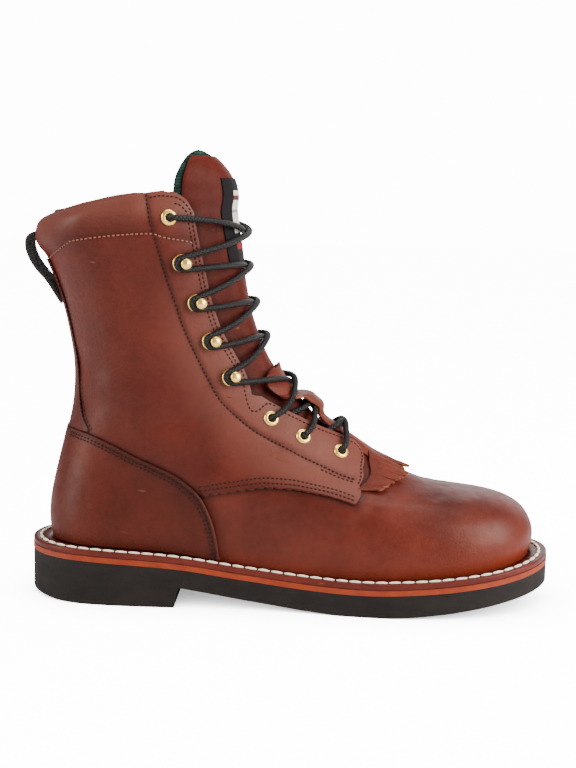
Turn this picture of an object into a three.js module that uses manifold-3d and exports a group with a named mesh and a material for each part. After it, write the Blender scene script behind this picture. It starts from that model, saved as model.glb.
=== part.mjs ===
// A lace-up work boot for the right foot, about 200 mm tall in the shaft, in millimetres.
// +X points to the toe, +Z up and -Y to the outer side of the foot.
// The origin is the middle of the heel's flat underside.
import * as THREE from "three";
import { mergeVertices } from "three/addons/utils/BufferGeometryUtils.js";
import Module from "manifold-3d";

const wasm = await Module();
wasm.setup();

// Driving sizes of the whole boot
const soleLength = 312.5; // back of the heel to the tip of the toe
const ballWidth = 110.6; // the sole across the ball of the foot
const heelRise = 26.8; // floor to the top of the rubber at the back
const shaftHeight = 201.4; // feather line to the collar's back

// Sole layers
const midsoleThickness = 3;
const weltThickness = 3.2;
const insoleThickness = 4;

// Leathers, paddings and trims
const vampLeather = 2.2;
const quarterLeather = 1.5;
const counterLeather = 1.6;
const backstayLeather = 1.2;
const kiltieLeather = 1.6;
const collarPadding = 7;
const tongueThickness = 4.5;
const tongueRise = 35.4; // height of the tongue above the collar's fold
const labelThickness = 0.8;
const strapThickness = 2.4;
const strapWidth = 16;
const strapSlack = 4.4; // how far the pull loop stands off the shaft

// Lace and its metal pieces
const laceDiameter = 3.6;
const eyeletRadius = 4.6;
const eyeletBore = 2.2;
const eyeletLip = 0.9;
const barrelWall = 0.5;
const hookBaseRadius = 5;
const hookBaseThickness = 0.8;
const hookNeckRadius = 1.4;
const hookHeadRadius = 3.3;
const hookHeadHeight = 2.2;

// Clearance between neighbours that touch on the real boot, and what two curved faces need on
// top of it because each is made of flat facets
const gap = 0.3;
const facetSlack = 0.4;

// How finely the curved pieces are divided
const around = 32;
const ringSides = 8;
const studSides = 8;
const laceSides = 6;
const laceSteps = 7;
const soleSides = 48;
const soleStations = 20;

// A table's rows become objects with the columns' names.
function named(columns, rows) {
  const names = columns.split(" ");
  return rows.map((row) => Object.fromEntries(names.map((name, i) => [name, row[i]])));
}

function mix(a, b, share) {
  return a + (b - a) * share;
}

function ease(from, to, value) {
  const share = THREE.MathUtils.clamp((value - from) / (to - from), 0, 1);
  return share * share * (3 - 2 * share);
}

// A smooth curve through values at uneven stations, held level past both ends.
function curveThrough(stations, values) {
  const steps = stations.slice(1).map((station, i) => station - stations[i]);
  const rises = steps.map((step, i) => (values[i + 1] - values[i]) / step);
  const slopes = stations.map((_, i) => {
    if (i === 0) return rises[0];
    if (i === steps.length) return rises[i - 1];
    return (rises[i - 1] * steps[i] + rises[i] * steps[i - 1]) / (steps[i - 1] + steps[i]);
  });
  return (at) => {
    const place = THREE.MathUtils.clamp(at, stations[0], stations[stations.length - 1]);
    let i = 0;
    while (i < steps.length - 1 && place > stations[i + 1]) i++;
    const u = (place - stations[i]) / steps[i];
    const lean = slopes[i] * steps[i];
    const nextLean = slopes[i + 1] * steps[i];
    const start = (2 * u ** 3 - 3 * u ** 2 + 1) * values[i] + (u ** 3 - 2 * u ** 2 + u) * lean;
    return start + (-2 * u ** 3 + 3 * u ** 2) * values[i + 1] + (u ** 3 - u ** 2) * nextLean;
  };
}

function tableCurve(table, station, value) {
  return curveThrough(
    table.map((row) => row[station]),
    table.map((row) => row[value]),
  );
}

// Straight steps between values at uneven stations.
function linesThrough(stations, values) {
  return (at) => {
    const place = THREE.MathUtils.clamp(at, stations[0], stations[stations.length - 1]);
    let i = 0;
    while (i < stations.length - 2 && place > stations[i + 1]) i++;
    return mix(values[i], values[i + 1], (place - stations[i]) / (stations[i + 1] - stations[i]));
  };
}

// Lengthwise places are shares of the sole's length from its back edge.
const heelCentre = 0.2;
const pastEnd = 0.02;

// A small step along the last, for finding which way its surface faces
const nudge = 0.002;

function along(share) {
  return (share - heelCentre) * soleLength;
}

// Top of the rubber from heel to toe, in shares of the heel's rise
const rubberTopTable = named("at rise", [
  [-0.002, 1],
  [0.149, 0.944],
  [0.293, 0.851],
  [0.414, 0.668],
  [0.517, 0.541],
  [0.632, 0.478],
  [0.744, 0.534],
  [0.869, 0.675],
  [1, 0.877],
]);
const rubberTopCurve = tableCurve(rubberTopTable, "at", "rise");

function rubberTop(x) {
  return rubberTopCurve(x / soleLength + heelCentre) * heelRise;
}

// Underside of the rubber: the heel's bevelled back, its flat, the breast, and the flat under the ball
const rubberBottomTable = named("at rise", [
  [-0.02, 0.14],
  [0.02, 0.083],
  [0.06, 0.027],
  [0.11, 0],
  [0.287, 0],
  [0.294, 0.45],
  [0.35, 0.35],
  [0.42, 0.22],
  [0.517, 0.078],
  [0.597, 0],
  [0.69, 0],
  [0.744, 0.052],
  [0.805, 0.135],
  [0.869, 0.245],
  [0.94, 0.375],
  [1.02, 0.51],
]);

// The centre line's sideways bend, in shares of the ball's width
const bendTable = named("at side", [
  [0.005, 0],
  [0.165, 0],
  [0.427, -0.0226],
  [0.686, 0.0158],
  [0.965, 0.036],
]);
const bend = tableCurve(bendTable, "at", "side");

// Where the widths of a section are given, from its back to its front
const widthStations = [0, 0.15, 0.42, 0.7, 1];

// Lifts of the layers above the rubber's top
const midsoleBottom = gap;
const midsoleTop = midsoleBottom + midsoleThickness;
const featherLift = midsoleTop + gap;
const weltTop = featherLift + weltThickness;

// The feather line, where the upper meets the welt, and the sole's outline
const footprintColumns = "back front heelRound heel waist ball toeRound";
const [feather, soleEdge] = named(footprintColumns, [
  [0.048, 0.964, 0.235, 0.262, 0.303, 0.427, 0.398],
  [0, 1, 0.325, 0.357, 0.366, 0.5, 0.452],
]);

function chord(x) {
  const share = (x - along(feather.back)) / (along(feather.front) - along(feather.back));
  return mix(rubberTop(along(feather.back)), rubberTop(along(feather.front)), share);
}

// Sections of the upper from the feather line to the collar. Each is a closed curve in a tilted
// plane: back and front are shares of the sole's length, lifts above the feather line are shares
// of the shaft's height, half widths and end radii are shares of the ball's width, and flow says
// how closely the section follows the sole's own curve.
const sectionColumns =
  "back backLift front frontLift heelRound heel waist ball toeRound flow";
const upperSections = named(sectionColumns, [
  [0.043, 0.054, 0.971, 0.059, 0.244, 0.273, 0.312, 0.448, 0.407, 0.9],
  [0.042, 0.099, 0.967, 0.106, 0.244, 0.275, 0.321, 0.447, 0.389, 0.75],
  [0.045, 0.144, 0.946, 0.156, 0.235, 0.271, 0.325, 0.42, 0.325, 0.6],
  [0.051, 0.192, 0.904, 0.191, 0.226, 0.267, 0.324, 0.384, 0.217, 0.45],
  [0.058, 0.239, 0.837, 0.208, 0.217, 0.262, 0.318, 0.339, 0.136, 0.3],
  [0.065, 0.283, 0.757, 0.231, 0.208, 0.258, 0.31, 0.298, 0.099, 0.2],
  [0.072, 0.328, 0.677, 0.283, 0.199, 0.255, 0.301, 0.271, 0.09, 0.1],
  [0.08, 0.376, 0.606, 0.349, 0.199, 0.253, 0.297, 0.258, 0.09, 0],
  [0.086, 0.428, 0.544, 0.419, 0.199, 0.253, 0.295, 0.253, 0.099, 0],
  [0.089, 0.488, 0.493, 0.492, 0.199, 0.253, 0.297, 0.258, 0.118, 0],
  [0.088, 0.557, 0.456, 0.571, 0.208, 0.253, 0.303, 0.267, 0.136, 0],
  [0.08, 0.637, 0.43, 0.66, 0.217, 0.258, 0.316, 0.285, 0.163, 0],
  [0.068, 0.718, 0.414, 0.754, 0.226, 0.267, 0.335, 0.303, 0.19, 0],
  [0.052, 0.794, 0.404, 0.843, 0.244, 0.28, 0.353, 0.321, 0.208, 0],
  [0.035, 0.854, 0.397, 0.917, 0.262, 0.294, 0.371, 0.339, 0.226, 0],
  [0.02, 0.905, 0.391, 0.982, 0.28, 0.312, 0.387, 0.353, 0.244, 0],
  [0.026, 0.958, 0.384, 1.026, 0.271, 0.306, 0.383, 0.348, 0.235, 0],
  [0.05, 0.996, 0.366, 1.053, 0.235, 0.276, 0.357, 0.321, 0.208, 0],
]);

function footprintSection(lift) {
  const share = lift / shaftHeight;
  return { ...feather, backLift: share, frontLift: share, flow: 1 };
}

const sections = [
  footprintSection(0),
  footprintSection(weltThickness + gap),
  ...upperSections,
];
const topSection = sections.length - 1;
const bendFadeFrom = 4;
const bendFadeTo = 12;

// A table row between two sections, on a smooth curve through its neighbours.
function sectionAt(number) {
  const place = THREE.MathUtils.clamp(number, 0, topSection);
  const i = Math.min(Math.floor(place), topSection - 1);
  const u = place - i;
  const rows = [i - 1, i, i + 1, i + 2].map(
    (n) => sections[THREE.MathUtils.clamp(n, 0, topSection)],
  );
  const row = {};
  for (const name of sectionColumns.split(" ")) {
    const [a, b, c, d] = rows.map((neighbour) => neighbour[name]);
    const leaving = (c - a) / 2;
    const arriving = (d - b) / 2;
    row[name] =
      (2 * u ** 3 - 3 * u ** 2 + 1) * b +
      (u ** 3 - 2 * u ** 2 + u) * leaving +
      (-2 * u ** 3 + 3 * u ** 2) * c +
      (u ** 3 - u ** 2) * arriving;
  }
  return row;
}

// A point of a section's plan. Round runs from 0 at the heel over the outer side to 1 at the
// toe, and on over the inner side to 2 at the heel again.
function planPoint(row, round, bendShare) {
  const share = (1 - Math.cos(round * Math.PI)) / 2;
  const length = (row.front - row.back) * soleLength;
  const endWidth = (radius) => Math.sqrt((radius * ballWidth * length) / 2);
  const fullness = widthStations.map((s) => 2 * Math.sqrt(s * (1 - s)));
  const widths = [
    endWidth(row.heelRound),
    (row.heel * ballWidth) / fullness[1],
    (row.waist * ballWidth) / fullness[2],
    (row.ball * ballWidth) / fullness[3],
    endWidth(row.toeRound),
  ];
  const halfWidth = curveThrough(widthStations, widths)(share) * Math.sin(round * Math.PI);
  const x = along(row.back) + share * length;
  const side = bendShare * bend(x / soleLength + heelCentre) * ballWidth - halfWidth;
  return { x, y: side, share };
}

function bare(section, round) {
  const row = sectionAt(section);
  const bendShare = 1 - ease(bendFadeFrom, bendFadeTo, section);
  const { x, y, share } = planPoint(row, round, bendShare);
  const lift = mix(row.backLift, row.frontLift, share) * shaftHeight + featherLift;
  const z = chord(x) + lift + row.flow * (rubberTop(x) - chord(x));
  return new THREE.Vector3(x, y, z);
}

function outwards(section, round) {
  const up = bare(Math.min(section + nudge, topSection), round);
  up.sub(bare(Math.max(section - nudge, 0), round));
  const ahead = bare(section, round + nudge).sub(bare(section, round - nudge));
  return ahead.cross(up).normalize();
}

// A point of the last's surface, raised along its own normal.
function skin(section, round, raised) {
  return bare(section, round).addScaledVector(outwards(section, round), raised);
}

// Rings of points become a closed surface: joined into a tube that bites its own tail, or capped
// at both ends where each ring is a thin strip, out along one face and back along the other.
function surfaceOf(rings, tailToHead) {
  const count = rings[0].length;
  const faces = [];
  const quad = (a, b, c, d) => faces.push(a, b, c, a, c, d);
  const bands = tailToHead ? rings.length : rings.length - 1;
  for (let ring = 0; ring < bands; ring++) {
    const next = ((ring + 1) % rings.length) * count;
    for (let i = 0; i < count; i++) {
      const j = (i + 1) % count;
      quad(ring * count + i, ring * count + j, next + j, next + i);
    }
  }
  if (!tailToHead) {
    const last = (rings.length - 1) * count;
    for (let i = 0; i < count / 2 - 1; i++) {
      const back = count - 1 - i;
      quad(i + 1, i, back, back - 1);
      quad(last + i, last + i + 1, last + back - 1, last + back);
    }
  }
  const geometry = new THREE.BufferGeometry();
  const numbers = rings.flat().flatMap((point) => point.toArray());
  geometry.setAttribute("position", new THREE.Float32BufferAttribute(numbers, 3));
  geometry.setIndex(faces);
  return geometry;
}

function solidOf(geometry) {
  const bareGeometry = new THREE.BufferGeometry();
  bareGeometry.setAttribute("position", geometry.getAttribute("position"));
  bareGeometry.setIndex(geometry.index);
  const merged = mergeVertices(bareGeometry, 1e-4);
  const triangles = new Uint32Array(merged.index.array);
  const points = merged.attributes.position.array;
  const made = new wasm.Manifold(
    new wasm.Mesh({ numProp: 3, vertProperties: points, triVerts: triangles }),
  );
  if (made.volume() > 0) return made;
  for (let i = 0; i < triangles.length; i += 3) {
    [triangles[i], triangles[i + 1]] = [triangles[i + 1], triangles[i]];
  }
  return new wasm.Manifold(
    new wasm.Mesh({ numProp: 3, vertProperties: points, triVerts: triangles }),
  );
}

function geometryOf(solid) {
  const { vertProperties, triVerts } = solid.getMesh();
  const geometry = new THREE.BufferGeometry();
  geometry.setAttribute("position", new THREE.BufferAttribute(vertProperties, 3));
  geometry.setIndex(new THREE.BufferAttribute(triVerts, 1));
  geometry.computeVertexNormals();
  return geometry;
}

// A plate with a side-view outline, as wide across as given.
function sidePlate(points, width) {
  const shape = new THREE.Shape(points.map(({ x, z }) => new THREE.Vector2(x, z)));
  const geometry = new THREE.ExtrudeGeometry(shape, { depth: width, bevelEnabled: false });
  geometry.rotateX(Math.PI / 2);
  geometry.translate(0, width / 2, 0);
  return geometry;
}

// A plate with a plan outline, from below the floor to above the welt, with a hole if one is given.
function floorPlate(points, hole) {
  const shape = new THREE.Shape(points);
  if (hole) shape.holes.push(new THREE.Path(hole));
  const depth = heelRise * 3;
  const geometry = new THREE.ExtrudeGeometry(shape, { depth, bevelEnabled: false });
  geometry.translate(0, 0, -heelRise / 2);
  return geometry;
}

function footprint(row, grown) {
  const points = [];
  for (let i = 0; i < soleSides; i++) {
    const round = (2 * i) / soleSides;
    const { x, y } = planPoint(row, round, 1);
    const before = planPoint(row, round - nudge, 1);
    const after = planPoint(row, round + nudge, 1);
    const run = new THREE.Vector2(after.x - before.x, after.y - before.y).normalize();
    points.push(new THREE.Vector2(x + run.y * grown, y - run.x * grown));
  }
  return points;
}

// The rubber's top line raised by a lift, from past the heel to past the toe.
function topLine(lift) {
  const line = [];
  for (let i = 0; i <= soleStations; i++) {
    const x = along(mix(-pastEnd, 1 + pastEnd, i / soleStations));
    line.push({ x, z: rubberTop(x) + lift });
  }
  return line;
}

function layer(outline, bottomLine, topLift) {
  const side = [...bottomLine, ...topLine(topLift).reverse()];
  return solidOf(sidePlate(side, ballWidth * 2)).intersect(solidOf(outline));
}

// Materials
const finish = (color, roughness, metalness) =>
  new THREE.MeshStandardMaterial({ color, roughness, metalness });
const leather = finish("#7c3527", 0.45, 0);
const foldedLeather = finish("#8c4428", 0.5, 0);
const darkLeather = finish("#712d22", 0.45, 0);
const liningLeather = finish("#b08d62", 0.8, 0);
const rubber = finish("#35302d", 0.75, 0);
const crepe = finish("#c2551f", 0.6, 0);
const weltLeather = finish("#7d2f22", 0.55, 0);
const webbing = finish("#2c2622", 0.85, 0);
const braid = finish("#2b2421", 0.8, 0);
const labelCloth = finish("#3a2a2c", 0.8, 0);
const brass = finish("#e6d49a", 0.25, 1);

const boot = new THREE.Group();
boot.name = "work_boot";

function add(name, geometry, material) {
  const piece = new THREE.Mesh(geometry, material);
  piece.name = name;
  boot.add(piece);
  return piece;
}

// Outsole with its heel, midsole, welt and insole
const rubberBottom = rubberBottomTable.map(({ at, rise }) => ({
  x: along(at),
  z: rise * heelRise,
}));
const soleOutline = footprint(soleEdge, 0);
add("outsole", geometryOf(layer(floorPlate(soleOutline), rubberBottom, 0)), rubber);
const midsole = layer(floorPlate(soleOutline), topLine(midsoleBottom), midsoleTop);
add("midsole", geometryOf(midsole), crepe);
const weltOutline = floorPlate(soleOutline, footprint(feather, gap + facetSlack).reverse());
const welt = layer(weltOutline, topLine(featherLift), weltTop);
add("welt", geometryOf(welt), weltLeather);
const insoleOutline = floorPlate(footprint(feather, -vampLeather - gap - facetSlack));
const insole = layer(insoleOutline, topLine(featherLift), featherLift + insoleThickness);
add("insole", geometryOf(insole), liningLeather);

// Seams and edges, as places on the last: the section's number and how far round it. The throat's
// edge is notched where the lower facing ends in a round lobe.
const notchSection = 10.74;
const throatEdge = named("section round", [
  [19, 0.615],
  [18.75, 0.652],
  [18.3, 0.685],
  [17.57, 0.707],
  [15.49, 0.708],
  [13.98, 0.712],
  [13.06, 0.723],
  [12.43, 0.739],
  [11.76, 0.748],
  [11.2, 0.735],
  [notchSection, 0.712],
  [10.68, 0.743],
  [10.47, 0.755],
  [10.22, 0.774],
  [9.91, 0.804],
  [9.52, 0.835],
  [9.2, 0.873],
  [8.88, 0.918],
  [8.66, 0.934],
  [8.41, 0.907],
]);
const quarterFront = named("section round", [
  [8.11, 0.858],
  [7.66, 0.791],
  [6.72, 0.7],
  [5.3, 0.621],
]);
const quarterLower = named("section round", [
  [5.36, 0.619],
  [5.71, 0.61],
  [5.98, 0.599],
  [6.15, 0.583],
  [6.32, 0.562],
  [6.33, 0.54],
  [6.28, 0.511],
  [5.97, 0.471],
  [5.57, 0.431],
  [5.17, 0.393],
  [5, 0.38],
  [3.8, 0.385],
  [2.8, 0.388],
  [1.2, 0.392],
]);
const counterEdge = named("round section", [
  [0, 8.52],
  [0.1, 8.47],
  [0.193, 8.35],
  [0.263, 7.92],
  [0.311, 7.36],
  [0.348, 6.85],
  [0.369, 6.37],
  [0.382, 5.66],
  [0.39, 4.94],
  [0.396, 3.82],
  [0.4, 2.85],
  [0.404, 1.7],
]);

function sideView({ section, round }) {
  const { x, z } = skin(section, round, quarterLeather);
  return { x, z };
}

// The wall's inner face: thin leather, thickening into the padded collar
const paddingFrom = 15;
const paddingTo = 17.4;

function wallInside(section, round) {
  const behindEyelets = 1 - ease(0.4, 0.56, Math.min(round, 2 - round));
  return -vampLeather - collarPadding * behindEyelets * ease(paddingFrom, paddingTo, section);
}

// A hollow wall between two faces of the last, with a rounded rim at its top.
function wall(numbers, outside, inside, rimHeight) {
  const ring = (section, inwards, height) => {
    const points = [];
    for (let i = 0; i < around; i++) {
      const round = (2 * i) / around;
      const raised = mix(outside, inside(section, round), inwards);
      const point = skin(section, round, raised);
      point.z += height;
      points.push(point);
    }
    return points;
  };
  const top = numbers[numbers.length - 1];
  const rings = numbers.map((section) => ring(section, 0, 0));
  for (const [share, rise] of [
    [0.15, 0.7],
    [0.5, 1],
    [0.85, 0.7],
  ]) {
    rings.push(ring(top, share, rise * rimHeight));
  }
  const downwards = [...numbers].reverse();
  rings.push(...downwards.map((section) => ring(section, 1, 0)));
  return solidOf(surfaceOf(rings, true));
}

function countUp(from, to, steps) {
  return Array.from({ length: steps + 1 }, (_, i) => mix(from, to, i / steps));
}

// The vamp and lining wall, and the quarter laid over it as a step in the same wall. The quarter
// alone carries the padded collar.
const vampTop = paddingFrom - 0.4;
const paddingRamp = 1.2;
const ankleSection = 9;
const lowerNumbers = [
  1,
  ...countUp(2, ankleSection, 7),
  ...countUp(ankleSection, vampTop, 4).slice(1),
];
const vampWall = wall([0, ...lowerNumbers], 0, () => -vampLeather, 0);
const quarterInside = (section, round) => {
  const through = ease(vampTop - paddingRamp, vampTop - paddingRamp / 2, section);
  return mix(-vampLeather / 2, wallInside(section, round) - gap, through);
};
const rimHeight = 2;
const quarterWall = wall(
  [...lowerNumbers, ...countUp(vampTop, topSection, 6).slice(1)],
  quarterLeather,
  quarterInside,
  rimHeight,
);
const farAbove = shaftHeight / 3;
const behindHeel = along(-5 * pastEnd);
const throatPoints = throatEdge.map(sideView);
const throatFront = throatPoints[throatPoints.length - 1];
const throat = [
  { x: throatPoints[0].x, z: throatPoints[0].z + farAbove },
  ...throatPoints,
  { x: throatFront.x, z: throatFront.z + farAbove },
  { x: throatFront.x, z: throatPoints[0].z + farAbove },
];
const frontPoints = quarterFront.map(sideView);
const lowerPoints = quarterLower.map(sideView);
const quarterBottom = topLine(weltTop + gap).filter(
  ({ x }) => x < lowerPoints[lowerPoints.length - 1].x,
);
const quarterRegion = [
  { x: behindHeel, z: throat[0].z },
  { x: throatFront.x, z: throat[0].z },
  throatFront,
  ...frontPoints,
  ...lowerPoints,
  ...quarterBottom.reverse(),
  { x: behindHeel, z: quarterBottom[0].z },
];
const quarterPlate = solidOf(sidePlate(quarterRegion, ballWidth * 2));
const throatPlate = solidOf(sidePlate(throat, ballWidth * 2));

// Eyelets and hooks up the front edge, each with its twin on the inner side
const eyeletPlaces = named("section round", [
  [8.42, 0.801],
  [9.04, 0.741],
  [9.81, 0.705],
  [17.46, 0.622],
]);
const hookPlaces = named("section round", [
  [11.48, 0.679],
  [12.76, 0.666],
  [13.98, 0.652],
  [15.37, 0.631],
]);

function across(place, side) {
  return side === "outer" ? place : { ...place, round: 2 - place.round };
}

// Places a piece made around +Z so that it stands on the quarter's face.
function standOn(piece, { section, round }) {
  const up = new THREE.Vector3(0, 0, 1);
  piece.quaternion.setFromUnitVectors(up, outwards(section, round));
  piece.position.copy(skin(section, round, quarterLeather));
  piece.updateMatrix();
  return piece;
}

const seat = gap + facetSlack;
const nearFacet = 0.1;
const eyeletProfile = [
  [eyeletBore, -quarterLeather - vampLeather + gap],
  [eyeletBore + barrelWall, -quarterLeather - vampLeather + gap],
  [eyeletBore + barrelWall, seat],
  [eyeletRadius, seat],
  [eyeletRadius * 0.88, seat + eyeletLip],
  [eyeletBore, seat + eyeletLip * 0.6],
];
const neckHeight = laceDiameter + 3 * gap;
const headFoot = seat + hookBaseThickness + neckHeight;
const hookProfile = [
  [0, seat],
  [hookBaseRadius, seat],
  [hookBaseRadius, seat + hookBaseThickness / 2],
  [hookBaseRadius * 0.8, seat + hookBaseThickness],
  [hookNeckRadius, seat + hookBaseThickness],
  [hookNeckRadius, headFoot],
  [hookHeadRadius, headFoot + hookHeadHeight * 0.35],
  [hookHeadRadius * 0.75, headFoot + hookHeadHeight * 0.8],
  [0, headFoot + hookHeadHeight],
];

function turned(profile, sides) {
  const points = profile.map(([radius, height]) => new THREE.Vector2(radius, height));
  if (profile[0][0] > 0) points.push(points[0].clone());
  const geometry = new THREE.LatheGeometry(points, sides);
  geometry.rotateX(Math.PI / 2);
  return geometryOf(solidOf(geometry));
}

const eyeletShape = turned(eyeletProfile, ringSides);
const hookShape = turned(hookProfile, studSides);
let upper = vampWall.add(quarterWall.intersect(quarterPlate)).subtract(throatPlate);
for (const side of ["outer", "inner"]) {
  eyeletPlaces.forEach((place, i) => {
    const eyelet = add(`eyelet_${side}_${i + 1}`, eyeletShape, brass);
    standOn(eyelet, across(place, side));
    const bit = new THREE.CylinderGeometry(
      eyeletBore + barrelWall + gap,
      eyeletBore + barrelWall + gap,
      4 * (collarPadding + vampLeather),
      ringSides,
    );
    bit.rotateX(Math.PI / 2);
    bit.applyMatrix4(eyelet.matrix);
    upper = upper.subtract(solidOf(bit));
  });
  hookPlaces.forEach((place, i) => {
    standOn(add(`hook_${side}_${i + 1}`, hookShape, brass), across(place, side));
  });
}
add("upper", geometryOf(upper), leather);

// A sheet of leather given by rows of points on its outer face, thickened inwards.
function sheet(rows, thicknessAt) {
  const rings = rows.map((row, i) => {
    const before = rows[Math.max(i - 1, 0)];
    const after = rows[Math.min(i + 1, rows.length - 1)];
    const inner = row.map((point, j) => {
      const ahead = row[Math.min(j + 1, row.length - 1)].clone();
      ahead.sub(row[Math.max(j - 1, 0)]);
      const up = after[j].clone().sub(before[j]);
      const out = ahead.cross(up).normalize();
      return point.clone().addScaledVector(out, -thicknessAt(i, j));
    });
    return [...row, ...inner.reverse()];
  });
  return geometryOf(solidOf(surfaceOf(rings, false)));
}

// The counter wraps the heel over the quarter, from the welt to its own curved edge.
const counterRaised = quarterLeather + seat + nearFacet + counterLeather;
const counterFoot = 1.14;
const counterRounds = counterEdge.map(({ round }) => round);
const counterTop = linesThrough(
  counterRounds,
  counterEdge.map(({ section }) => section),
);
const facet = 2 / around;
const counterHalf = [
  ...countUp(0, 5 * facet, 5),
  ...counterRounds.filter((round) => round > 5.3 * facet),
];
const counterColumns = [...counterHalf.slice(1).map((round) => -round).reverse(), ...counterHalf];
const counterRows = countUp(0, 1, 6).map((share) =>
  counterColumns.map((round) => {
    const section = mix(counterFoot, counterTop(Math.abs(round)), share);
    return skin(section, round, counterRaised);
  }),
);
add("counter", sheet(counterRows, () => counterLeather), darkLeather);

// The backstay covers the shaft's rear seam between the counter and the collar.
const backstayTop = 15.95;
const backstayTable = named("section half", [
  [8.72, 0.185],
  [9.4, 0.15],
  [10.2, 0.127],
  [11.6, 0.115],
  [13.2, 0.107],
  [14.6, 0.107],
  [backstayTop, 0.109],
]);
const backstayRaised = quarterLeather + seat + backstayLeather;
const backstayRows = backstayTable.map(({ section, half }) =>
  countUp(-half, half, 8).map((round) => skin(section, round, backstayRaised)),
);
add("backstay", sheet(backstayRows, () => backstayLeather), leather);

// The pull loop: a strap from the collar's back, out and down to the backstay
const loopTop = 17.2;
const loopBottom = 14.1;
const loopSpine = countUp(0, 1, 10).map((share) => {
  const section = mix(loopTop, loopBottom, share);
  const overlay = (backstayLeather + gap) * (1 - ease(backstayTop, backstayTop + 0.6, section));
  const layers = quarterLeather + seat + overlay;
  const slack = strapSlack * Math.sin(Math.PI * share);
  return skin(section, 0, layers + strapThickness / 2 + slack);
});
const loopSide = (sign) =>
  loopSpine.map((point, i) => {
    const before = loopSpine[Math.max(i - 1, 0)];
    const after = loopSpine[Math.min(i + 1, loopSpine.length - 1)];
    const run = after.clone().sub(before).normalize();
    const reach = (sign * strapThickness) / 2;
    return { x: point.x - run.z * reach, z: point.z + run.x * reach };
  });
add(
  "pull_loop",
  sidePlate([...loopSide(1), ...loopSide(-1).reverse()], strapWidth),
  webbing,
);

// Half of the throat's opening at a section, in the same unit as round
const throatUp = [...throatEdge].reverse().filter(({ section }) => section !== notchSection);
const throatHalf = linesThrough(
  throatUp.map(({ section }) => section),
  throatUp.map(({ round }) => 1 - round),
);

// The tongue fills the throat, tucked under its edges, and stands above the collar.
const tongueTable = named("section half", [
  [8.15, 0.11],
  [8.6, 0.16],
  [9.1, 0.21],
  [9.7, 0.25],
  [10.4, 0.28],
  [11.2, 0.31],
  [12.2, 0.34],
  [13.4, 0.36],
  [14.6, 0.375],
  [16, 0.39],
  [17.4, 0.395],
]);
const tongueTopTable = named("ahead rise depth width tilt body", [
  [0.017, 0.249, 0.98, 0.83, 0.2, 1],
  [-0.031, 0.489, 0.9, 0.81, 0, 0.9],
  [-0.147, 0.686, 0.72, 0.77, 0, 0.75],
  [-0.302, 0.856, 0.49, 0.65, 0, 0.6],
  [-0.472, 0.963, 0.22, 0.45, 0, 0.4],
  [-0.568, 1, 0.05, 0.2, 0, 0.25],
]);
const tongueColumns = countUp(-1, 1, 10);
const tucked = -vampLeather - gap - facetSlack;

function tongueRaised(section, round) {
  const inThroat = 1 - ease(0.35, 0.78, Math.abs(round - 1) / throatHalf(section));
  return tucked * (1 - inThroat * ease(9.7, 10.5, section));
}

const tongueRows = tongueTable.map(({ section, half }) =>
  tongueColumns.map((column) => {
    const round = 1 + column * half;
    return skin(section, round, tongueRaised(section, round));
  }),
);
const foldRow = tongueRows[tongueRows.length - 1];
const foldFront = foldRow[(foldRow.length - 1) / 2];
for (const { ahead, rise, depth, width, tilt } of tongueTopTable) {
  tongueRows.push(
    foldRow.map(
      (point) =>
        new THREE.Vector3(
          foldFront.x + ahead * tongueRise + (point.x - foldFront.x) * depth,
          foldFront.y + (point.y - foldFront.y) * width,
          foldFront.z + rise * tongueRise + (point.z - foldFront.z) * tilt,
        ),
    ),
  );
}
const tongueBody = [...tongueTable.map(() => 1), ...tongueTopTable.map(({ body }) => body)];
add("tongue", sheet(tongueRows, (i) => tongueThickness * tongueBody[i]), leather);

// A plain cloth label on the tongue's front
const labelHalf = 0.095;
const foldSection = tongueTable[tongueTable.length - 1].section;
const labelRows = countUp(15.6, foldSection, 3).map((section) =>
  countUp(-labelHalf, labelHalf, 4).map((offset) => {
    const round = 1 + offset;
    return skin(section, round, tongueRaised(section, round));
  }),
);
const labelSpan = labelRows[labelRows.length - 1];
const labelFront = labelSpan[(labelSpan.length - 1) / 2];
for (const { ahead, rise, depth, width, tilt } of tongueTopTable.slice(0, 2)) {
  labelRows.push(
    labelSpan.map(
      (point) =>
        new THREE.Vector3(
          foldFront.x + ahead * tongueRise + (point.x - labelFront.x) * depth,
          foldFront.y + (point.y - labelFront.y) * width,
          foldFront.z + rise * tongueRise + (point.z - labelFront.z) * tilt,
        ),
    ),
  );
}

function lifted(rows, height) {
  return rows.map((row, i) => {
    const before = rows[Math.max(i - 1, 0)];
    const after = rows[Math.min(i + 1, rows.length - 1)];
    return row.map((point, j) => {
      const ahead = row[Math.min(j + 1, row.length - 1)].clone();
      ahead.sub(row[Math.max(j - 1, 0)]);
      const out = ahead.cross(after[j].clone().sub(before[j])).normalize();
      return point.clone().addScaledVector(out, height);
    });
  });
}

const labelRaised = gap + nearFacet + labelThickness;
add("tongue_label", sheet(lifted(labelRows, labelRaised), () => labelThickness), labelCloth);

// The kiltie: a flap over the lower throat that arches over one crossing of the lace and fans
// out over the vamp in front of the quarter. Middle and edge are section numbers, and arch is how
// far the flap stands off the tongue, in lace diameters.
const kiltieTable = named("middle edge half arch", [
  [7.45, 6.4, 0.28, 0],
  [7.75, 7.2, 0.225, 0],
  [8.05, 7.85, 0.155, 0.03],
  [8.36, 8.28, 0.085, 0.06],
  [8.62, 8.62, 0.045, 0.06],
  [8.95, 8.95, 0.06, 0.03],
  [9.35, 9.35, 0.1, 0.03],
  [9.75, 9.75, 0.085, 0.08],
  [9.95, 9.95, 0.085, 1.36],
  [10.2, 10.2, 0.1, 1.53],
  [10.42, 10.42, 0.105, 1.36],
  [10.6, 10.6, 0.12, 0.14],
  [10.82, 10.82, 0.15, 0.03],
  [11.1, 11.1, 0.165, 0],
  [11.5, 11.45, 0.15, 0.11],
  [11.78, 11.66, 0.07, 0.86],
]);
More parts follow.
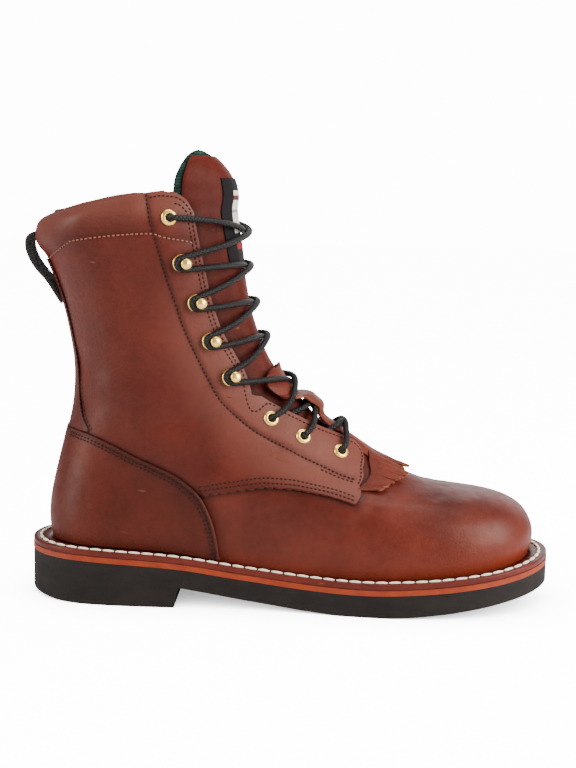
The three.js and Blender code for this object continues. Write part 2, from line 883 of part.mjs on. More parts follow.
const kiltieCurl = 1.5;
const kiltieRows = kiltieTable.map(({ middle, edge, half, arch }) =>
  countUp(-1, 1, 8).map((column) => {
    const section = mix(middle, edge, Math.abs(column) ** kiltieCurl);
    const raised = seat + nearFacet + arch * laceDiameter + kiltieLeather;
    return skin(section, 1 + column * half, raised);
  }),
);
add("kiltie", sheet(kiltieRows, () => kiltieLeather), foldedLeather);

// The lace's crossings. Each joins two mirrored strands from a lower place on one side to the
// next place up on the other. Middle is the section where they cross on the centre line, and
// over how far the lace's own line stands off the last there, in lace diameters.
const laceRadius = laceDiameter / 2;
const overMetal = quarterLeather + seat + eyeletLip + seat + laceRadius;
const overEdge = quarterLeather + laceRadius + gap + seat;

function hookEnd(place, direction) {
  const spacing = bare(place.section + 0.5, place.round).distanceTo(
    bare(place.section - 0.5, place.round),
  );
  const reach = (hookNeckRadius + laceRadius + gap) / spacing;
  return { section: place.section + direction * reach, round: place.round, raised: overMetal };
}

const eyeletEnd = (place) => ({ ...place, raised: overMetal });

// An end that stops at the throat's edge, where the lace goes under the facing.
const facingInset = 0.9;
const aboveEyelet = 0.25;

function tuckedEnd(place) {
  const section = place.section + aboveEyelet;
  const round = 1 - throatHalf(section) * facingInset;
  return { section, round, raised: overEdge + facetSlack };
}

const [firstEyelet, secondEyelet, thirdEyelet, topEyelet] = eyeletPlaces;
const [firstHook, secondHook, thirdHook, topHook] = hookPlaces;
const crossings = named("start end middle over", [
  [eyeletEnd(firstEyelet), tuckedEnd(secondEyelet), 9.22, 1.44],
  [eyeletEnd(secondEyelet), tuckedEnd(thirdEyelet), 10.18, 0.83],
  [eyeletEnd(thirdEyelet), hookEnd(firstHook, -1), 11.1, 1.44],
  [hookEnd(firstHook, 1), hookEnd(secondHook, -1), 12.7, 0.89],
  [hookEnd(secondHook, 1), hookEnd(thirdHook, -1), 13.8, 0.81],
  [hookEnd(thirdHook, 1), hookEnd(topHook, -1), 15.0, 0.75],
  [hookEnd(topHook, 1), eyeletEnd(topEyelet), 16.36, 1.22],
]);
const laceSection = new THREE.Shape(
  countUp(0, 1, laceSides)
    .slice(1)
    .map((share) => {
      const angle = share * 2 * Math.PI;
      return new THREE.Vector2(Math.cos(angle), Math.sin(angle)).multiplyScalar(laceRadius);
    }),
);

function strand(start, end, middle, over) {
  const raised = over * laceDiameter;
  const overFacing = Math.max(raised, overEdge);
  const sectionCurve = curveThrough([0, 0.5, 1], [start.section, middle, end.section]);
  const raisedCurve = curveThrough(
    [0, 0.2, 0.5, 0.8, 1],
    [start.raised, overFacing, raised, overFacing, end.raised],
  );
  return countUp(0, 1, laceSteps).map((share) =>
    skin(sectionCurve(share), mix(start.round, 2 - end.round, share), raisedCurve(share)),
  );
}

function laceTube(points) {
  const extrudePath = new THREE.CatmullRomCurve3(points);
  return solidOf(new THREE.ExtrudeGeometry(laceSection, { steps: laceSteps, extrudePath }));
}

crossings.forEach(({ start, end, middle, over }, i) => {
  const route = strand(start, end, middle, over);
  const mirrored = strand(across(start, "inner"), across(end, "inner"), middle, over);
  const crossing = laceTube(route).add(laceTube(mirrored));
  add(`lace_crossing_${i + 1}`, geometryOf(crossing), braid);
});

export default boot;
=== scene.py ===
# %% [markdown]
# A lace-up work boot, dressed for a picture
# The boot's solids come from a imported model, and this lesson gives each of them its finished form:
# leather panels with turned edges, stitches, a braided lace, brass eyelets and a welted sole.
# Every length is in metres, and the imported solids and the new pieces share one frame.
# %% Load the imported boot
import math

import bmesh
import bpy
import numpy as np
from mathutils import Matrix, Vector


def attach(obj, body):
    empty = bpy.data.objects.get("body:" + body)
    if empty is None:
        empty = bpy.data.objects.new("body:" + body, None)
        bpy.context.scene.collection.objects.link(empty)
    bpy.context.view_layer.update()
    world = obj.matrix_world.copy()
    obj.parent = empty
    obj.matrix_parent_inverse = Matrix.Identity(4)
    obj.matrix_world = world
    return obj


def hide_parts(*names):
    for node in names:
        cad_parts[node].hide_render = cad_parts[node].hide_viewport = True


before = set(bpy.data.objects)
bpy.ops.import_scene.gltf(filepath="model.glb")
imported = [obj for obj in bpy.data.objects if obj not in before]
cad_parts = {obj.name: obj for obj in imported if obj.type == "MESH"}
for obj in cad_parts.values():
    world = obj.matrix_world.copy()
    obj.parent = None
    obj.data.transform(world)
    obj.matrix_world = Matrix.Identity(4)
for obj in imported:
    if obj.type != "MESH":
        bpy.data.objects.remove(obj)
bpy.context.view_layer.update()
mm = 0.001
print("packed pieces:", len(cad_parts))

# %% [markdown]
# The camera comes first, because it says what has to look right. It stands at the boot's outer
# side, a little above it and turned slightly, and it is aimed by three angles rather than by a
# target, so that the heel and toe land where a long lens would put them.
# %% Camera
camera_place = Vector((0.10847, -0.80282, 0.23976))
camera_yaw, camera_pitch, camera_roll = 0.0217, 0.1386, 0.0165
ahead = Vector((
    -math.sin(camera_yaw) * math.cos(camera_pitch),
    math.cos(camera_yaw) * math.cos(camera_pitch),
    -math.sin(camera_pitch),
))
level_right = ahead.cross(Vector((0, 0, 1))).normalized()
level_up = level_right.cross(ahead)
right = level_right * math.cos(camera_roll) + level_up * math.sin(camera_roll)
up = level_up * math.cos(camera_roll) - level_right * math.sin(camera_roll)
camera = bpy.data.objects.new("camera", bpy.data.cameras.new("camera"))
turn = Matrix((right, up, -ahead)).transposed()
camera.matrix_world = Matrix.Translation(camera_place) @ turn.to_4x4()
camera.data.lens = 63.2
camera.data.sensor_width = 36
camera.data.clip_start = 0.01
bpy.context.scene.collection.objects.link(camera)
bpy.context.scene.camera = camera
print("camera looks along", [round(part, 3) for part in ahead])

# %% [markdown]
# Materials are networks of small nodes. This helper adds one node, sets its choices and joins or
# fills its sockets, so that each finish below reads like a recipe: a value that is a socket
# becomes a link, and any other value is set on the node itself.
# %% A helper for material nodes
def node(material, kind, inputs=None, **choices):
    made = material.node_tree.nodes.new(kind)
    for name, value in choices.items():
        setattr(made, name, value)
    for name, value in (inputs or {}).items():
        if isinstance(value, bpy.types.NodeSocket):
            material.node_tree.links.new(value, made.inputs[name])
        else:
            made.inputs[name].default_value = value
    return made


def new_material(name):
    material = bpy.data.materials.new(name)
    material.use_nodes = True
    return material, material.node_tree.nodes["Principled BSDF"]


def join(material, output, socket):
    material.node_tree.links.new(output, socket)


def from_hex(code):
    """A colour written as its red, green and blue bytes, turned into linear light."""
    parts = [int(code[place:place + 2], 16) / 255 for place in (1, 3, 5)]
    linear = [((part + 0.055) / 1.055) ** 2.4 if part > 0.04 else part / 12.92 for part in parts]
    return (*linear, 1)


def grey(value):
    return (value, value, value, 1)


def finish(surface, values):
    """Values that are the same all over a piece go on the shader's own sockets."""
    for name, value in values.items():
        surface.inputs[name].default_value = value


print("oiled brown in linear light:", [round(part, 3) for part in from_hex("#59231b")])

# %% [markdown]
# Patterns are laid out in the piece's own coordinates. Because every piece keeps its place in its
# mesh, these are metres, and a cloud or a pore can be given its real size.
# %% Patterns for materials
def own_place(material):
    return node(material, "ShaderNodeTexCoord").outputs["Object"]


def mottle(material, size, detail=3, stretch=(1, 1, 1)):
    """Soft cloudy noise whose clouds are about as wide as size."""
    place = node(material, "ShaderNodeMapping", {"Vector": own_place(material), "Scale": stretch})
    noise = {"Vector": place.outputs["Vector"], "Scale": 1 / size, "Detail": detail}
    return node(material, "ShaderNodeTexNoise", noise).outputs["Fac"]


def ramp(material, factor, stops):
    """A colour ramp with (place, colour) stops."""
    made = node(material, "ShaderNodeValToRGB", {"Fac": factor})
    elements = made.color_ramp.elements
    for element, (place, colour) in zip(elements, stops):
        element.position, element.color = place, colour
    for place, colour in stops[2:]:
        elements.new(place).color = colour
    return made.outputs["Color"]


def blend_colours(material, factor, first, second, how="MIX"):
    made = node(material, "ShaderNodeMix", data_type="RGBA", blend_type=how)
    factor_socket, first_socket, second_socket = made.inputs[0], made.inputs[6], made.inputs[7]
    for socket, value in ((factor_socket, factor), (first_socket, first), (second_socket, second)):
        if isinstance(value, bpy.types.NodeSocket):
            join(material, value, socket)
        else:
            socket.default_value = value
    return made.outputs[2]


def bump(material, height, distance, strength=1.0, under=None):
    inputs = {"Height": height, "Distance": distance, "Strength": strength}
    if under is not None:
        inputs["Normal"] = under
    return node(material, "ShaderNodeBump", inputs).outputs["Normal"]


def attribute(material, name):
    """A number that the mesh carries at each of its points."""
    return node(material, "ShaderNodeAttribute", attribute_name=name).outputs["Fac"]


print("materials so far:", len(bpy.data.materials))

# %% [markdown]
# Oiled leather is reddish brown with cloudy darker patches, fine pores, a few pale scuffs and a
# soft gloss. The mesh carries two numbers that the recipe reads: dark, mostly painted shade and
# painted shadow along seams and edges and under the panels that lie on the leather, and burnish,
# for the rubbed glow that wear and a maker's cloth leave, and for painted light on the quarters' front.
# %% Leather
# The first colour is mixed in for painted shade and shadow; the second is the colour of real scuffs.
painted_shade_colour, scuff_colour = from_hex("#220c09"), from_hex("#a5614a")
pores_per_metre = 1050.0


def leather(name, light, deep, glow, roughness, gloss=0.19, grain=0.00022):
    material, surface = new_material(name)
    clouds = mottle(material, 0.034, 4, (1, 1, 0.7))
    body = ramp(material, clouds, [(0.30, from_hex(deep)), (0.70, from_hex(light))])
    fleck_stops = [(0.30, (0.92, 0.9, 0.9, 1)), (0.66, grey(1.05))]
    flecks = ramp(material, mottle(material, 0.0035, 3), fleck_stops)
    body = blend_colours(material, 1.0, body, flecks, "MULTIPLY")
    rubbed = mottle(material, 0.009, 2, (0.6, 1, 1.8))
    scuffs = ramp(material, rubbed, [(0.73, grey(0)), (0.79, grey(0.3))])
    body = blend_colours(material, scuffs, body, scuff_colour)
    # Burnish mixes in a rubbed glow, and painted light on the quarters' front; dark mixes in painted
    # shade.
    body = blend_colours(material, attribute(material, "burnish"), body, from_hex(glow))
    body = blend_colours(material, attribute(material, "dark"), body, painted_shade_colour)
    join(material, body, surface.inputs["Base Color"])
    rough_stops = [(0.3, grey(roughness - 0.05)), (0.7, grey(roughness + 0.06))]
    rough = ramp(material, mottle(material, 0.006, 4), rough_stops)
    join(material, rough, surface.inputs["Roughness"])
    pore_place = {"Vector": own_place(material), "Scale": pores_per_metre}
    pores = node(material, "ShaderNodeTexVoronoi", pore_place, feature="SMOOTH_F1")
    fine = bump(material, pores.outputs["Distance"], grain, 0.35)
    creased = bump(material, mottle(material, 0.0022, 3, (1.6, 1.6, 0.8)), grain, 0.22, fine)
    uneven = bump(material, mottle(material, 0.014, 3), 0.0008, 0.5, creased)
    join(material, uneven, surface.inputs["Normal"])
    finish(surface, {
        "Coat Weight": 0.2 * gloss, "Coat Roughness": 0.35, "Specular IOR Level": gloss,
        "Specular Tint": (1, 0.72, 0.6, 1),
    })
    return material


upper_leather = leather("upper_leather", "#59231b", "#431813", "#744338", 0.46)
counter_leather = leather("counter_leather", "#5b2218", "#431610", "#62200f", 0.45)
vamp_leather = leather("vamp_leather", "#5f261c", "#421510", "#6e2410", 0.42, 0.22)
tongue_leather = leather("tongue_leather", "#521d16", "#3e1510", "#60301c", 0.5, 0.07)
kiltie_leather = leather("kiltie_leather", "#662a1e", "#4e1d15", "#8c5030", 0.50, 0.16)
edge_leather = leather("edge_leather", "#48211a", "#331410", "#44190e", 0.5)
print("leathers:", [m.name for m in bpy.data.materials if "leather" in m.name])

# %% [markdown]
# A boot is shaped by a last, the form that its leather is pulled over. The last here is a table
# of 20 sections from the sole to the collar. Each section is a closed curve in a tilted plane,
# so two numbers name any place on the boot: the section, and how far round it the place lies,
# from 0 at the heel over the outer side to 1 at the toe and on to 2 at the heel again.
# %% The last's sizes
sole_length = 312.5 * mm
ball_width = 110.6 * mm
heel_rise = 26.8 * mm
shaft_height = 201.4 * mm
gap = 0.3 * mm
midsole_thickness = 3 * mm
welt_thickness = 3.2 * mm
insole_thickness = 4 * mm
quarter_leather = 1.5 * mm
vamp_thickness = 2.2 * mm
midsole_top = gap + midsole_thickness
feather_lift = midsole_top + gap
heel_centre = 0.2
print("sole:", round(sole_length / mm, 1), "mm long and", round(ball_width / mm, 1), "mm wide")

# %% [markdown]
# The sole isn't flat: its toe springs up, its arch is hollow and its heel ends in a steep breast.
# Two short lists give the rubber's top and underside from heel to toe, as places along the sole
# and rises in shares of the heel's rise, and a third gives the footprint's sideways bend.
# %% The sole's lists
rubber_top_at = [-0.002, 0.149, 0.293, 0.414, 0.517, 0.632, 0.744, 0.869, 1]
rubber_top_rise = [1, 0.944, 0.851, 0.668, 0.541, 0.478, 0.534, 0.675, 0.877]
breast_back, breast_front = 0.287, 0.294
rubber_bottom_at = [
    -0.02, 0.02, 0.06, 0.11, breast_back, breast_front, 0.35, 0.42,
    0.517, 0.597, 0.69, 0.744, 0.805, 0.869, 0.94, 1.02,
]
rubber_bottom_rise = [
    0.14, 0.083, 0.027, 0, 0, 0.45, 0.35, 0.22,
    0.078, 0, 0, 0.052, 0.135, 0.245, 0.375, 0.51,
]
bend_at = [0.005, 0.165, 0.427, 0.686, 0.965]
bend_side = [0, 0, -0.0226, 0.0158, 0.036]
width_stations = np.array([0, 0.15, 0.42, 0.7, 1])
print("heel's front edge at", round(breast_back * sole_length / mm), "mm from the back")

# %% [markdown]
# A section's row holds where the back and the front of the curve lie, as shares of the sole's
# length, how high each is, as shares of the shaft's height, and five widths, as shares of the
# ball's. The last number says how far the section still follows the sole's curved top.
# %% The last's sections
# A row holds: back, back lift, front, front lift, heel round, heel, waist, ball, toe round, flow
feather = [0.048, 0, 0.964, 0, 0.235, 0.262, 0.303, 0.427, 0.398, 1]
sole_edge = [0, 0, 1, 0, 0.325, 0.357, 0.366, 0.5, 0.452, 1]
welt_share = (welt_thickness + gap) / shaft_height
sections = np.array([
    feather,
    [0.048, welt_share, 0.964, welt_share, 0.235, 0.262, 0.303, 0.427, 0.398, 1],
    [0.043, 0.054, 0.971, 0.059, 0.244, 0.273, 0.312, 0.448, 0.407, 0.9],
    [0.042, 0.099, 0.967, 0.106, 0.244, 0.275, 0.321, 0.447, 0.389, 0.75],
    [0.045, 0.144, 0.946, 0.156, 0.235, 0.271, 0.325, 0.42, 0.325, 0.6],
    [0.051, 0.192, 0.904, 0.191, 0.226, 0.267, 0.324, 0.384, 0.217, 0.45],
    [0.058, 0.239, 0.837, 0.208, 0.217, 0.262, 0.318, 0.339, 0.136, 0.3],
    [0.065, 0.283, 0.757, 0.231, 0.208, 0.258, 0.31, 0.298, 0.099, 0.2],
    [0.072, 0.328, 0.677, 0.283, 0.199, 0.255, 0.301, 0.271, 0.09, 0.1],
    [0.08, 0.376, 0.606, 0.349, 0.199, 0.253, 0.297, 0.258, 0.09, 0],
    [0.086, 0.428, 0.544, 0.419, 0.199, 0.253, 0.295, 0.253, 0.099, 0],
    [0.089, 0.488, 0.493, 0.492, 0.199, 0.253, 0.297, 0.258, 0.118, 0],
    [0.088, 0.557, 0.456, 0.571, 0.208, 0.253, 0.303, 0.267, 0.136, 0],
    [0.08, 0.637, 0.43, 0.66, 0.217, 0.258, 0.316, 0.285, 0.163, 0],
    [0.068, 0.718, 0.414, 0.754, 0.226, 0.267, 0.335, 0.303, 0.19, 0],
    [0.052, 0.794, 0.404, 0.843, 0.244, 0.28, 0.353, 0.321, 0.208, 0],
    [0.035, 0.854, 0.397, 0.917, 0.262, 0.294, 0.371, 0.339, 0.226, 0],
    [0.02, 0.905, 0.391, 0.982, 0.28, 0.312, 0.387, 0.353, 0.244, 0],
    [0.026, 0.958, 0.384, 1.026, 0.271, 0.306, 0.383, 0.348, 0.235, 0],
    [0.05, 0.996, 0.366, 1.053, 0.235, 0.276, 0.357, 0.321, 0.208, 0],
])
top_section = len(sections) - 1
bend_fade_from, bend_fade_to = 4, 12
print("sections:", len(sections))

# %% [markdown]
# Smooth curves run through the table's rows and through the widths of a row. Working on whole
# arrays at once, as below, bends thousands of points over the last in a blink.
# %% Smooth curves
def ease(low, high, value):
    share = np.clip((np.asarray(value, float) - low) / (high - low), 0, 1)
    return share * share * (3 - 2 * share)


def mix(low, high, share):
    return low + (high - low) * share


def bent(low, high, leaving, arriving, share):
    """A cubic from low to high with the given slopes at its ends."""
    rest = 1 - share
    start = rest * rest * (1 + 2 * share) * low + share * rest * rest * leaving
    return start + share * share * (3 - 2 * share) * high - share * share * rest * arriving


def curve_through(stations, values, at):
    """A smooth curve through values at uneven stations; values may have a column for each place."""
    stations = np.asarray(stations, float)
    values = np.asarray(values, float)
    if values.ndim == 1:
        values = values[:, None]
    at = np.clip(np.atleast_1d(np.asarray(at, float)), stations[0], stations[-1])
    steps = np.diff(stations)[:, None]
    rises = np.diff(values, axis=0) / steps
    inner = (rises[:-1] * steps[1:] + rises[1:] * steps[:-1]) / (steps[1:] + steps[:-1])
    slopes = np.concatenate([rises[:1], inner, rises[-1:]])
    i = np.clip(np.searchsorted(stations, at, side="right") - 1, 0, len(stations) - 2)
    column = np.arange(len(at)) if values.shape[1] > 1 else 0
    step = np.diff(stations)[i]
    share = (at - stations[i]) / step
    leaving, arriving = slopes[i, column] * step, slopes[i + 1, column] * step
    return bent(values[i, column], values[i + 1, column], leaving, arriving, share)


def rows_at(table, number):
    """The rows of a table at whole and broken row numbers."""
    place = np.clip(number, 0, len(table) - 1)
    start = np.minimum(place.astype(int), len(table) - 2)
    share = (place - start).reshape(-1, *[1] * (table.ndim - 1))
    before, low, high, after = (
        table[np.clip(start + step, 0, len(table) - 1)] for step in (-1, 0, 1, 2)
    )
    return bent(low, high, (high - before) / 2, (after - low) / 2, share)


print("halfway up an easing:", float(ease(0, 1, 0.5)))

# %% [markdown]
# A place on the last is worked out in two steps. In plan, the row's widths give a footprint that
# bends as a foot does. Its height then tilts from the back to the front, so a low section lies
# along the sole, and a high one is a ring round the leg. Panels stand off it along its normals.
# %% The last's surface
def along(share):
    return (share - heel_centre) * sole_length


def rubber_top(x):
    return curve_through(rubber_top_at, rubber_top_rise, x / sole_length + heel_centre) * heel_rise


def rubber_bottom(x):
    rise = np.interp(x / sole_length + heel_centre, rubber_bottom_at, rubber_bottom_rise)
    return rise * heel_rise


chord_ends = along(np.array([feather[0], feather[2]]))


def chord(x):
    low, high = rubber_top(chord_ends)
    return mix(low, high, (x - chord_ends[0]) / (chord_ends[1] - chord_ends[0]))


def plan(rows, around, bend_share):
    """Where places round a section lie in plan, and their share of the way from back to front."""
    share = (1 - np.cos(around * math.pi)) / 2
    length = (rows[:, 2] - rows[:, 0]) * sole_length
    fullness = 2 * np.sqrt(width_stations * (1 - width_stations))
    widths = np.stack([
        np.sqrt(rows[:, 4] * ball_width * length / 2),
        rows[:, 5] * ball_width / fullness[1],
        rows[:, 6] * ball_width / fullness[2],
        rows[:, 7] * ball_width / fullness[3],
        np.sqrt(rows[:, 8] * ball_width * length / 2),
    ])
    half_width = curve_through(width_stations, widths, share) * np.sin(around * math.pi)
    x = along(rows[:, 0]) + share * length
    bend = curve_through(bend_at, bend_side, x / sole_length + heel_centre) * ball_width
    return x, bend_share * bend - half_width, share


def bare(section, around):
    rows = rows_at(sections, section)
    x, y, share = plan(rows, around, 1 - ease(bend_fade_from, bend_fade_to, section))
    lift = mix(rows[:, 1], rows[:, 3], share) * shaft_height + feather_lift
    z = chord(x) + lift + rows[:, 9] * (rubber_top(x) - chord(x))
    return np.stack([x, y, z], axis=1)


def unit(vectors):
    return vectors / np.linalg.norm(vectors, axis=1, keepdims=True)


def outwards(section, around):
    nudge = 0.002
    climb = bare(np.minimum(section + nudge, top_section), around)
    climb = climb - bare(np.maximum(section - nudge, 0), around)
    forward = bare(section, around + nudge) - bare(section, around - nudge)
    return unit(np.cross(forward, climb))


def skin(section, around, raised=0.0):
    """Points over the last, raised along its own normals."""
    section, around, raised = np.broadcast_arrays(
        *(np.atleast_1d(np.asarray(value, float)) for value in (section, around, raised))
    )
    return bare(section, around) + outwards(section, around) * raised[:, None]


print("collar's back stands", round(float(skin(19, 0)[0, 2]) / mm), "mm above the floor")

# %% [markdown]
# Leather panels start as flat grids, as a cutter starts with a flat hide. The grid's points are
# moved on to the last, Solidify gives the leather its thickness on the inner side, and Bevel
# rounds its cut edges so that they catch the light. Values for the material ride on the points.
# %% Helpers for panels
def flat_grid(columns, rows, place, marks=None, uv=None):
    """A grid bent by place(u, v), with numbers for its material from marks(u, v, points)."""
    bm = bmesh.new()
    if uv:
        bm.loops.layers.uv.new(uv)
    bmesh.ops.create_grid(bm, x_segments=columns, y_segments=rows, size=0.5, calc_uvs=bool(uv))
    flat = np.array([vert.co[:2] for vert in bm.verts]) + 0.5
    points = place(flat[:, 0], flat[:, 1])
    for vert, point in zip(bm.verts, points):
        vert.co = point
    for name, values in (marks(flat[:, 0], flat[:, 1], points) if marks else {}).items():
        layer = bm.verts.layers.float.new(name)
        for vert, value in zip(bm.verts, values):
            vert[layer] = value
    return bm


def make_piece(bm, name, materials, replaced=()):
    mesh = bpy.data.meshes.new(name)
    bm.to_mesh(mesh)
    bm.free()
    for material in materials:
        mesh.materials.append(material)
    mesh.polygons.foreach_set("use_smooth", [True] * len(mesh.polygons))
    piece = bpy.data.objects.new(name, mesh)
    bpy.context.scene.collection.objects.link(piece)
    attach(piece, "root")
    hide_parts(*replaced)
    print(name, "faces:", len(mesh.polygons))
    return piece


def thicken(piece, thickness, rounding=0.0):
    wall = piece.modifiers.new("thickness", "SOLIDIFY")
    wall.thickness = thickness
    wall.offset = -1
    if rounding:
        edge = piece.modifiers.new("rounded edge", "BEVEL")
        edge.width = rounding
        edge.segments = 2
        edge.limit_method = "ANGLE"
        edge.angle_limit = math.radians(50)


sample = flat_grid(2, 3, lambda u, v: np.stack([u, v, 0 * u], axis=1))
print("a flat grid of 2 by 3 faces has", len(sample.verts), "points")
sample.free()

# %% [markdown]
# A seam is traced over the last in even steps. Its points then serve twice: stitches and beads
# stand on them, and the leather near them is darkened with painted shade.
# %% Helpers for seams
def trace(path, raised, step=0.5 * mm, side=1):
    """Even steps along a seam: its places and points. Side -1 gives its twin on the inner side."""
    marks = np.array(path, float)
    fine = rows_at(marks, np.linspace(0, len(marks) - 1, 30 * len(marks)))
    line = skin(fine[:, 0], fine[:, 1], raised)
    run = np.concatenate([[0], np.cumsum(np.linalg.norm(np.diff(line, axis=0), axis=1))])
    stops = np.linspace(0, run[-1], max(2, round(run[-1] / step) + 1))
    section = np.interp(stops, run, fine[:, 0])
    around = np.interp(stops, run, fine[:, 1])
    if side < 0:
        around = 2 - around
    return section, around, skin(section, around, raised)


def nearness(points, lines, reach):
    """1 on the lines and falling to 0 at about twice the reach away from them."""
    nearest = np.full(len(points), np.inf)
    for line in lines:
        for part in np.array_split(line, max(1, len(line) // 200)):
            middle, size = part.mean(0), np.ptp(part, axis=0).max() + 6 * reach
            close = np.nonzero((np.abs(points - middle) < size).all(1))[0]
            if len(close):
                far = np.linalg.norm(points[close, None] - part[None, ::2], axis=2).min(1)
                nearest[close] = np.minimum(nearest[close], far)
    return np.exp(-(nearest / reach) ** 2)


print("a seam once round the collar has", len(trace([(19, 0), (19, 1), (19, 2)], 0.0)[0]), "steps")

# %% [markdown]
# The seams and edges are short lists of places, each a section and how far round it. A list runs
# from the top down or from the heel forwards, on the outer side. The inner side has the same
# seams, mirrored.
# %% Seams and edges
throat_edge = [
    (19, 0.615), (18.75, 0.652), (18.3, 0.685), (17.57, 0.707), (15.49, 0.708), (13.98, 0.712),
    (13.06, 0.723), (12.43, 0.739), (11.76, 0.748), (11.2, 0.735), (10.74, 0.712), (10.68, 0.743),
    (10.47, 0.755), (10.22, 0.774), (9.91, 0.804), (9.52, 0.835), (9.2, 0.873), (8.88, 0.918),
    (8.66, 0.934), (8.41, 0.907), (8.11, 0.858), (7.66, 0.791), (6.72, 0.7), (5.3, 0.621),
]
quarter_lower = [
    (5.17, 0.393), (5.57, 0.431), (5.97, 0.471), (6.28, 0.511), (6.33, 0.54), (6.32, 0.562),
    (6.15, 0.583), (5.98, 0.599), (5.71, 0.61), (5.36, 0.619),
]
facing_seam = [
    (18.99, 0.554), (17.71, 0.564), (16.8, 0.571), (15.15, 0.574), (14.02, 0.585), (13.48, 0.59),
    (12.4, 0.603), (11.53, 0.608), (10.61, 0.606), (9.97, 0.615), (9.37, 0.626), (8.94, 0.643),
    (8.57, 0.664), (8.19, 0.68), (7.84, 0.696), (7.48, 0.707), (7.18, 0.721),
]
collar_seam = [
    (16.03, 0.107), (16.39, 0.208), (16.75, 0.28), (16.87, 0.309), (16.92, 0.438), (16.82, 0.559),
    (16.57, 0.601), (16.23, 0.687),
]
counter_edge = [
    (8.52, 0), (8.47, 0.1), (8.35, 0.193), (7.92, 0.263), (7.36, 0.311), (6.85, 0.348),
    (6.37, 0.369), (5.66, 0.382), (4.94, 0.39), (3.82, 0.396), (2.85, 0.4), (1.3, 0.404),
]
backstay_edge = [(15.95, 0.109), (13.16, 0.107), (10.18, 0.127), (8.54, 0.187)]
sides = (1, -1)
print("front edge runs through", len(throat_edge), "places")

# %% [markdown]
# The vamp is the soft lower part that wraps the toes and runs back under the other panels. It is
# one closed ring of leather, so its grid's two ends are merged at the heel. Walking leaves creases
# across it, and each one is given as a soft trough with a ridge on both sides. A crease
# holds its path, its width and its depth.
# %% Creases
vamp_creases = [
    ([(4.6, 0.66), (5.2, 0.70), (5.7, 0.74)], 2.2 * mm, 0.35 * mm),
    ([(4.9, 0.62), (5.6, 0.67), (6.1, 0.72)], 1.8 * mm, 0.3 * mm),
    ([(3.4, 0.56), (4.3, 0.60), (5.0, 0.64)], 3.5 * mm, 0.45 * mm),
    ([(5.6, 0.78), (6.2, 0.86), (6.5, 0.95)], 3.0 * mm, 0.3 * mm),
    ([(3.2, 0.48), (4.2, 0.50), (5.1, 0.53)], 4.0 * mm, 0.4 * mm),
]


def fold(around):
    """How far round from the heel, whichever side the place is on."""
    return np.abs((np.asarray(around, float) + 1) % 2 - 1)


ridge_height, ridge_spread = 0.45, 2.4


def creased(points, creases):
    """How far creases push points in or out: a trough between two low ridges."""
    depth = np.zeros(len(points))
    for path, width, deep in creases:
        for side in sides:
            line = trace(path, 0.0, mm, side)[2]
            depth += ridge_height * deep * nearness(points, [line], ridge_spread * width)
            depth -= (1 + ridge_height) * deep * nearness(points, [line], width)
    return depth


print("creases on each side:", len(vamp_creases))

# %% [markdown]
# The vamp's marks are painted as numbers on its points: a rubbed glow low down round the toe, a
# dark line where it meets the welt, painted shadow beside the edges of the panels that lie on it,
# and a little painted shade on the toe's top.
# %% Vamp
vamp_top = 9.3


def vamp_place(u, v):
    section, around = v * vamp_top, u * 2
    return skin(section, around, creased(skin(section, around), vamp_creases))


def vamp_marks(u, v, points):
    section, front = v * vamp_top, fold(u * 2)
    low = 1 - ease(0.9, 4.4, section)
    burnish = 0.5 * low * ease(0.42, 0.8, front) + 0.3 * (1 - ease(1.0, 2.6, section))
    welt_line = 1 - ease(0.8, 1.35, section)
    # Painted shade: the toe's top is a little darker, as the lamps leave it.
    toe_top = ease(0.8, 1.0, front) * ease(3.0, 5.0, section) * (1 - ease(6.0, 7.5, section))
    edges = [trace(quarter_lower, 0.0, mm, side)[2] for side in sides]
    edges += [trace(throat_edge[-4:], 0.0, mm, side)[2] for side in sides]
    # Painted shadow beside the quarters' lower edge and the foot of the lacing edge.
    shade = nearness(points, edges, 3.2 * mm)
    dark = np.clip(0.6 * welt_line + 0.65 * shade + 0.12 * toe_top, 0, 1)
    return {"burnish": burnish, "dark": dark}


vamp_grid = flat_grid(230, 80, vamp_place, vamp_marks)
bmesh.ops.remove_doubles(vamp_grid, verts=vamp_grid.verts, dist=0.01 * mm)
vamp = make_piece(vamp_grid, "vamp", [vamp_leather], ["upper"])
thicken(vamp, vamp_thickness)

# %% [markdown]
# The quarters are the shaft. One panel runs from the inner side's lacing edge round the heel to
# the outer side's, from the pinked lower edge up to the collar, and there it rolls over a soft
# pad and down inside. Rows follow the lower edge at the bottom and the rim at the top, and each
# row ends exactly on the lacing edge, so every cut edge is a clean line of the grid.
# %% The quarters' edges
corner_section = 5.3
padding_from, padding_to = 15, 17.4
collar_padding = 7 * mm
roll_from = 0.87
front_marks = np.array(throat_edge)[::-1]
row_places = [0, 0.04, 0.2, 0.36, 0.5, roll_from]
row_sections = [corner_section, 6.4, 9.0, 10.25, 11.25, top_section]


def front_edge(section):
    return np.interp(section, front_marks[:, 0], front_marks[:, 1])


def lower_edge(around):
    marks = np.array(quarter_lower)
    return np.interp(around, marks[:, 1], marks[:, 0])


def behind(path):
    """A seam as a function from section to how far round it lies."""
    marks = np.array(path)[::-1]
    return lambda section: np.interp(section, marks[:, 0], marks[:, 1])


facing_at = behind(facing_seam)
collar_marks = np.array(collar_seam)


def collar_line(around):
    return np.interp(around, collar_marks[:, 1], collar_marks[:, 0])


print("lacing edge at the collar:", round(float(front_edge(top_section)), 3), "round from the heel")

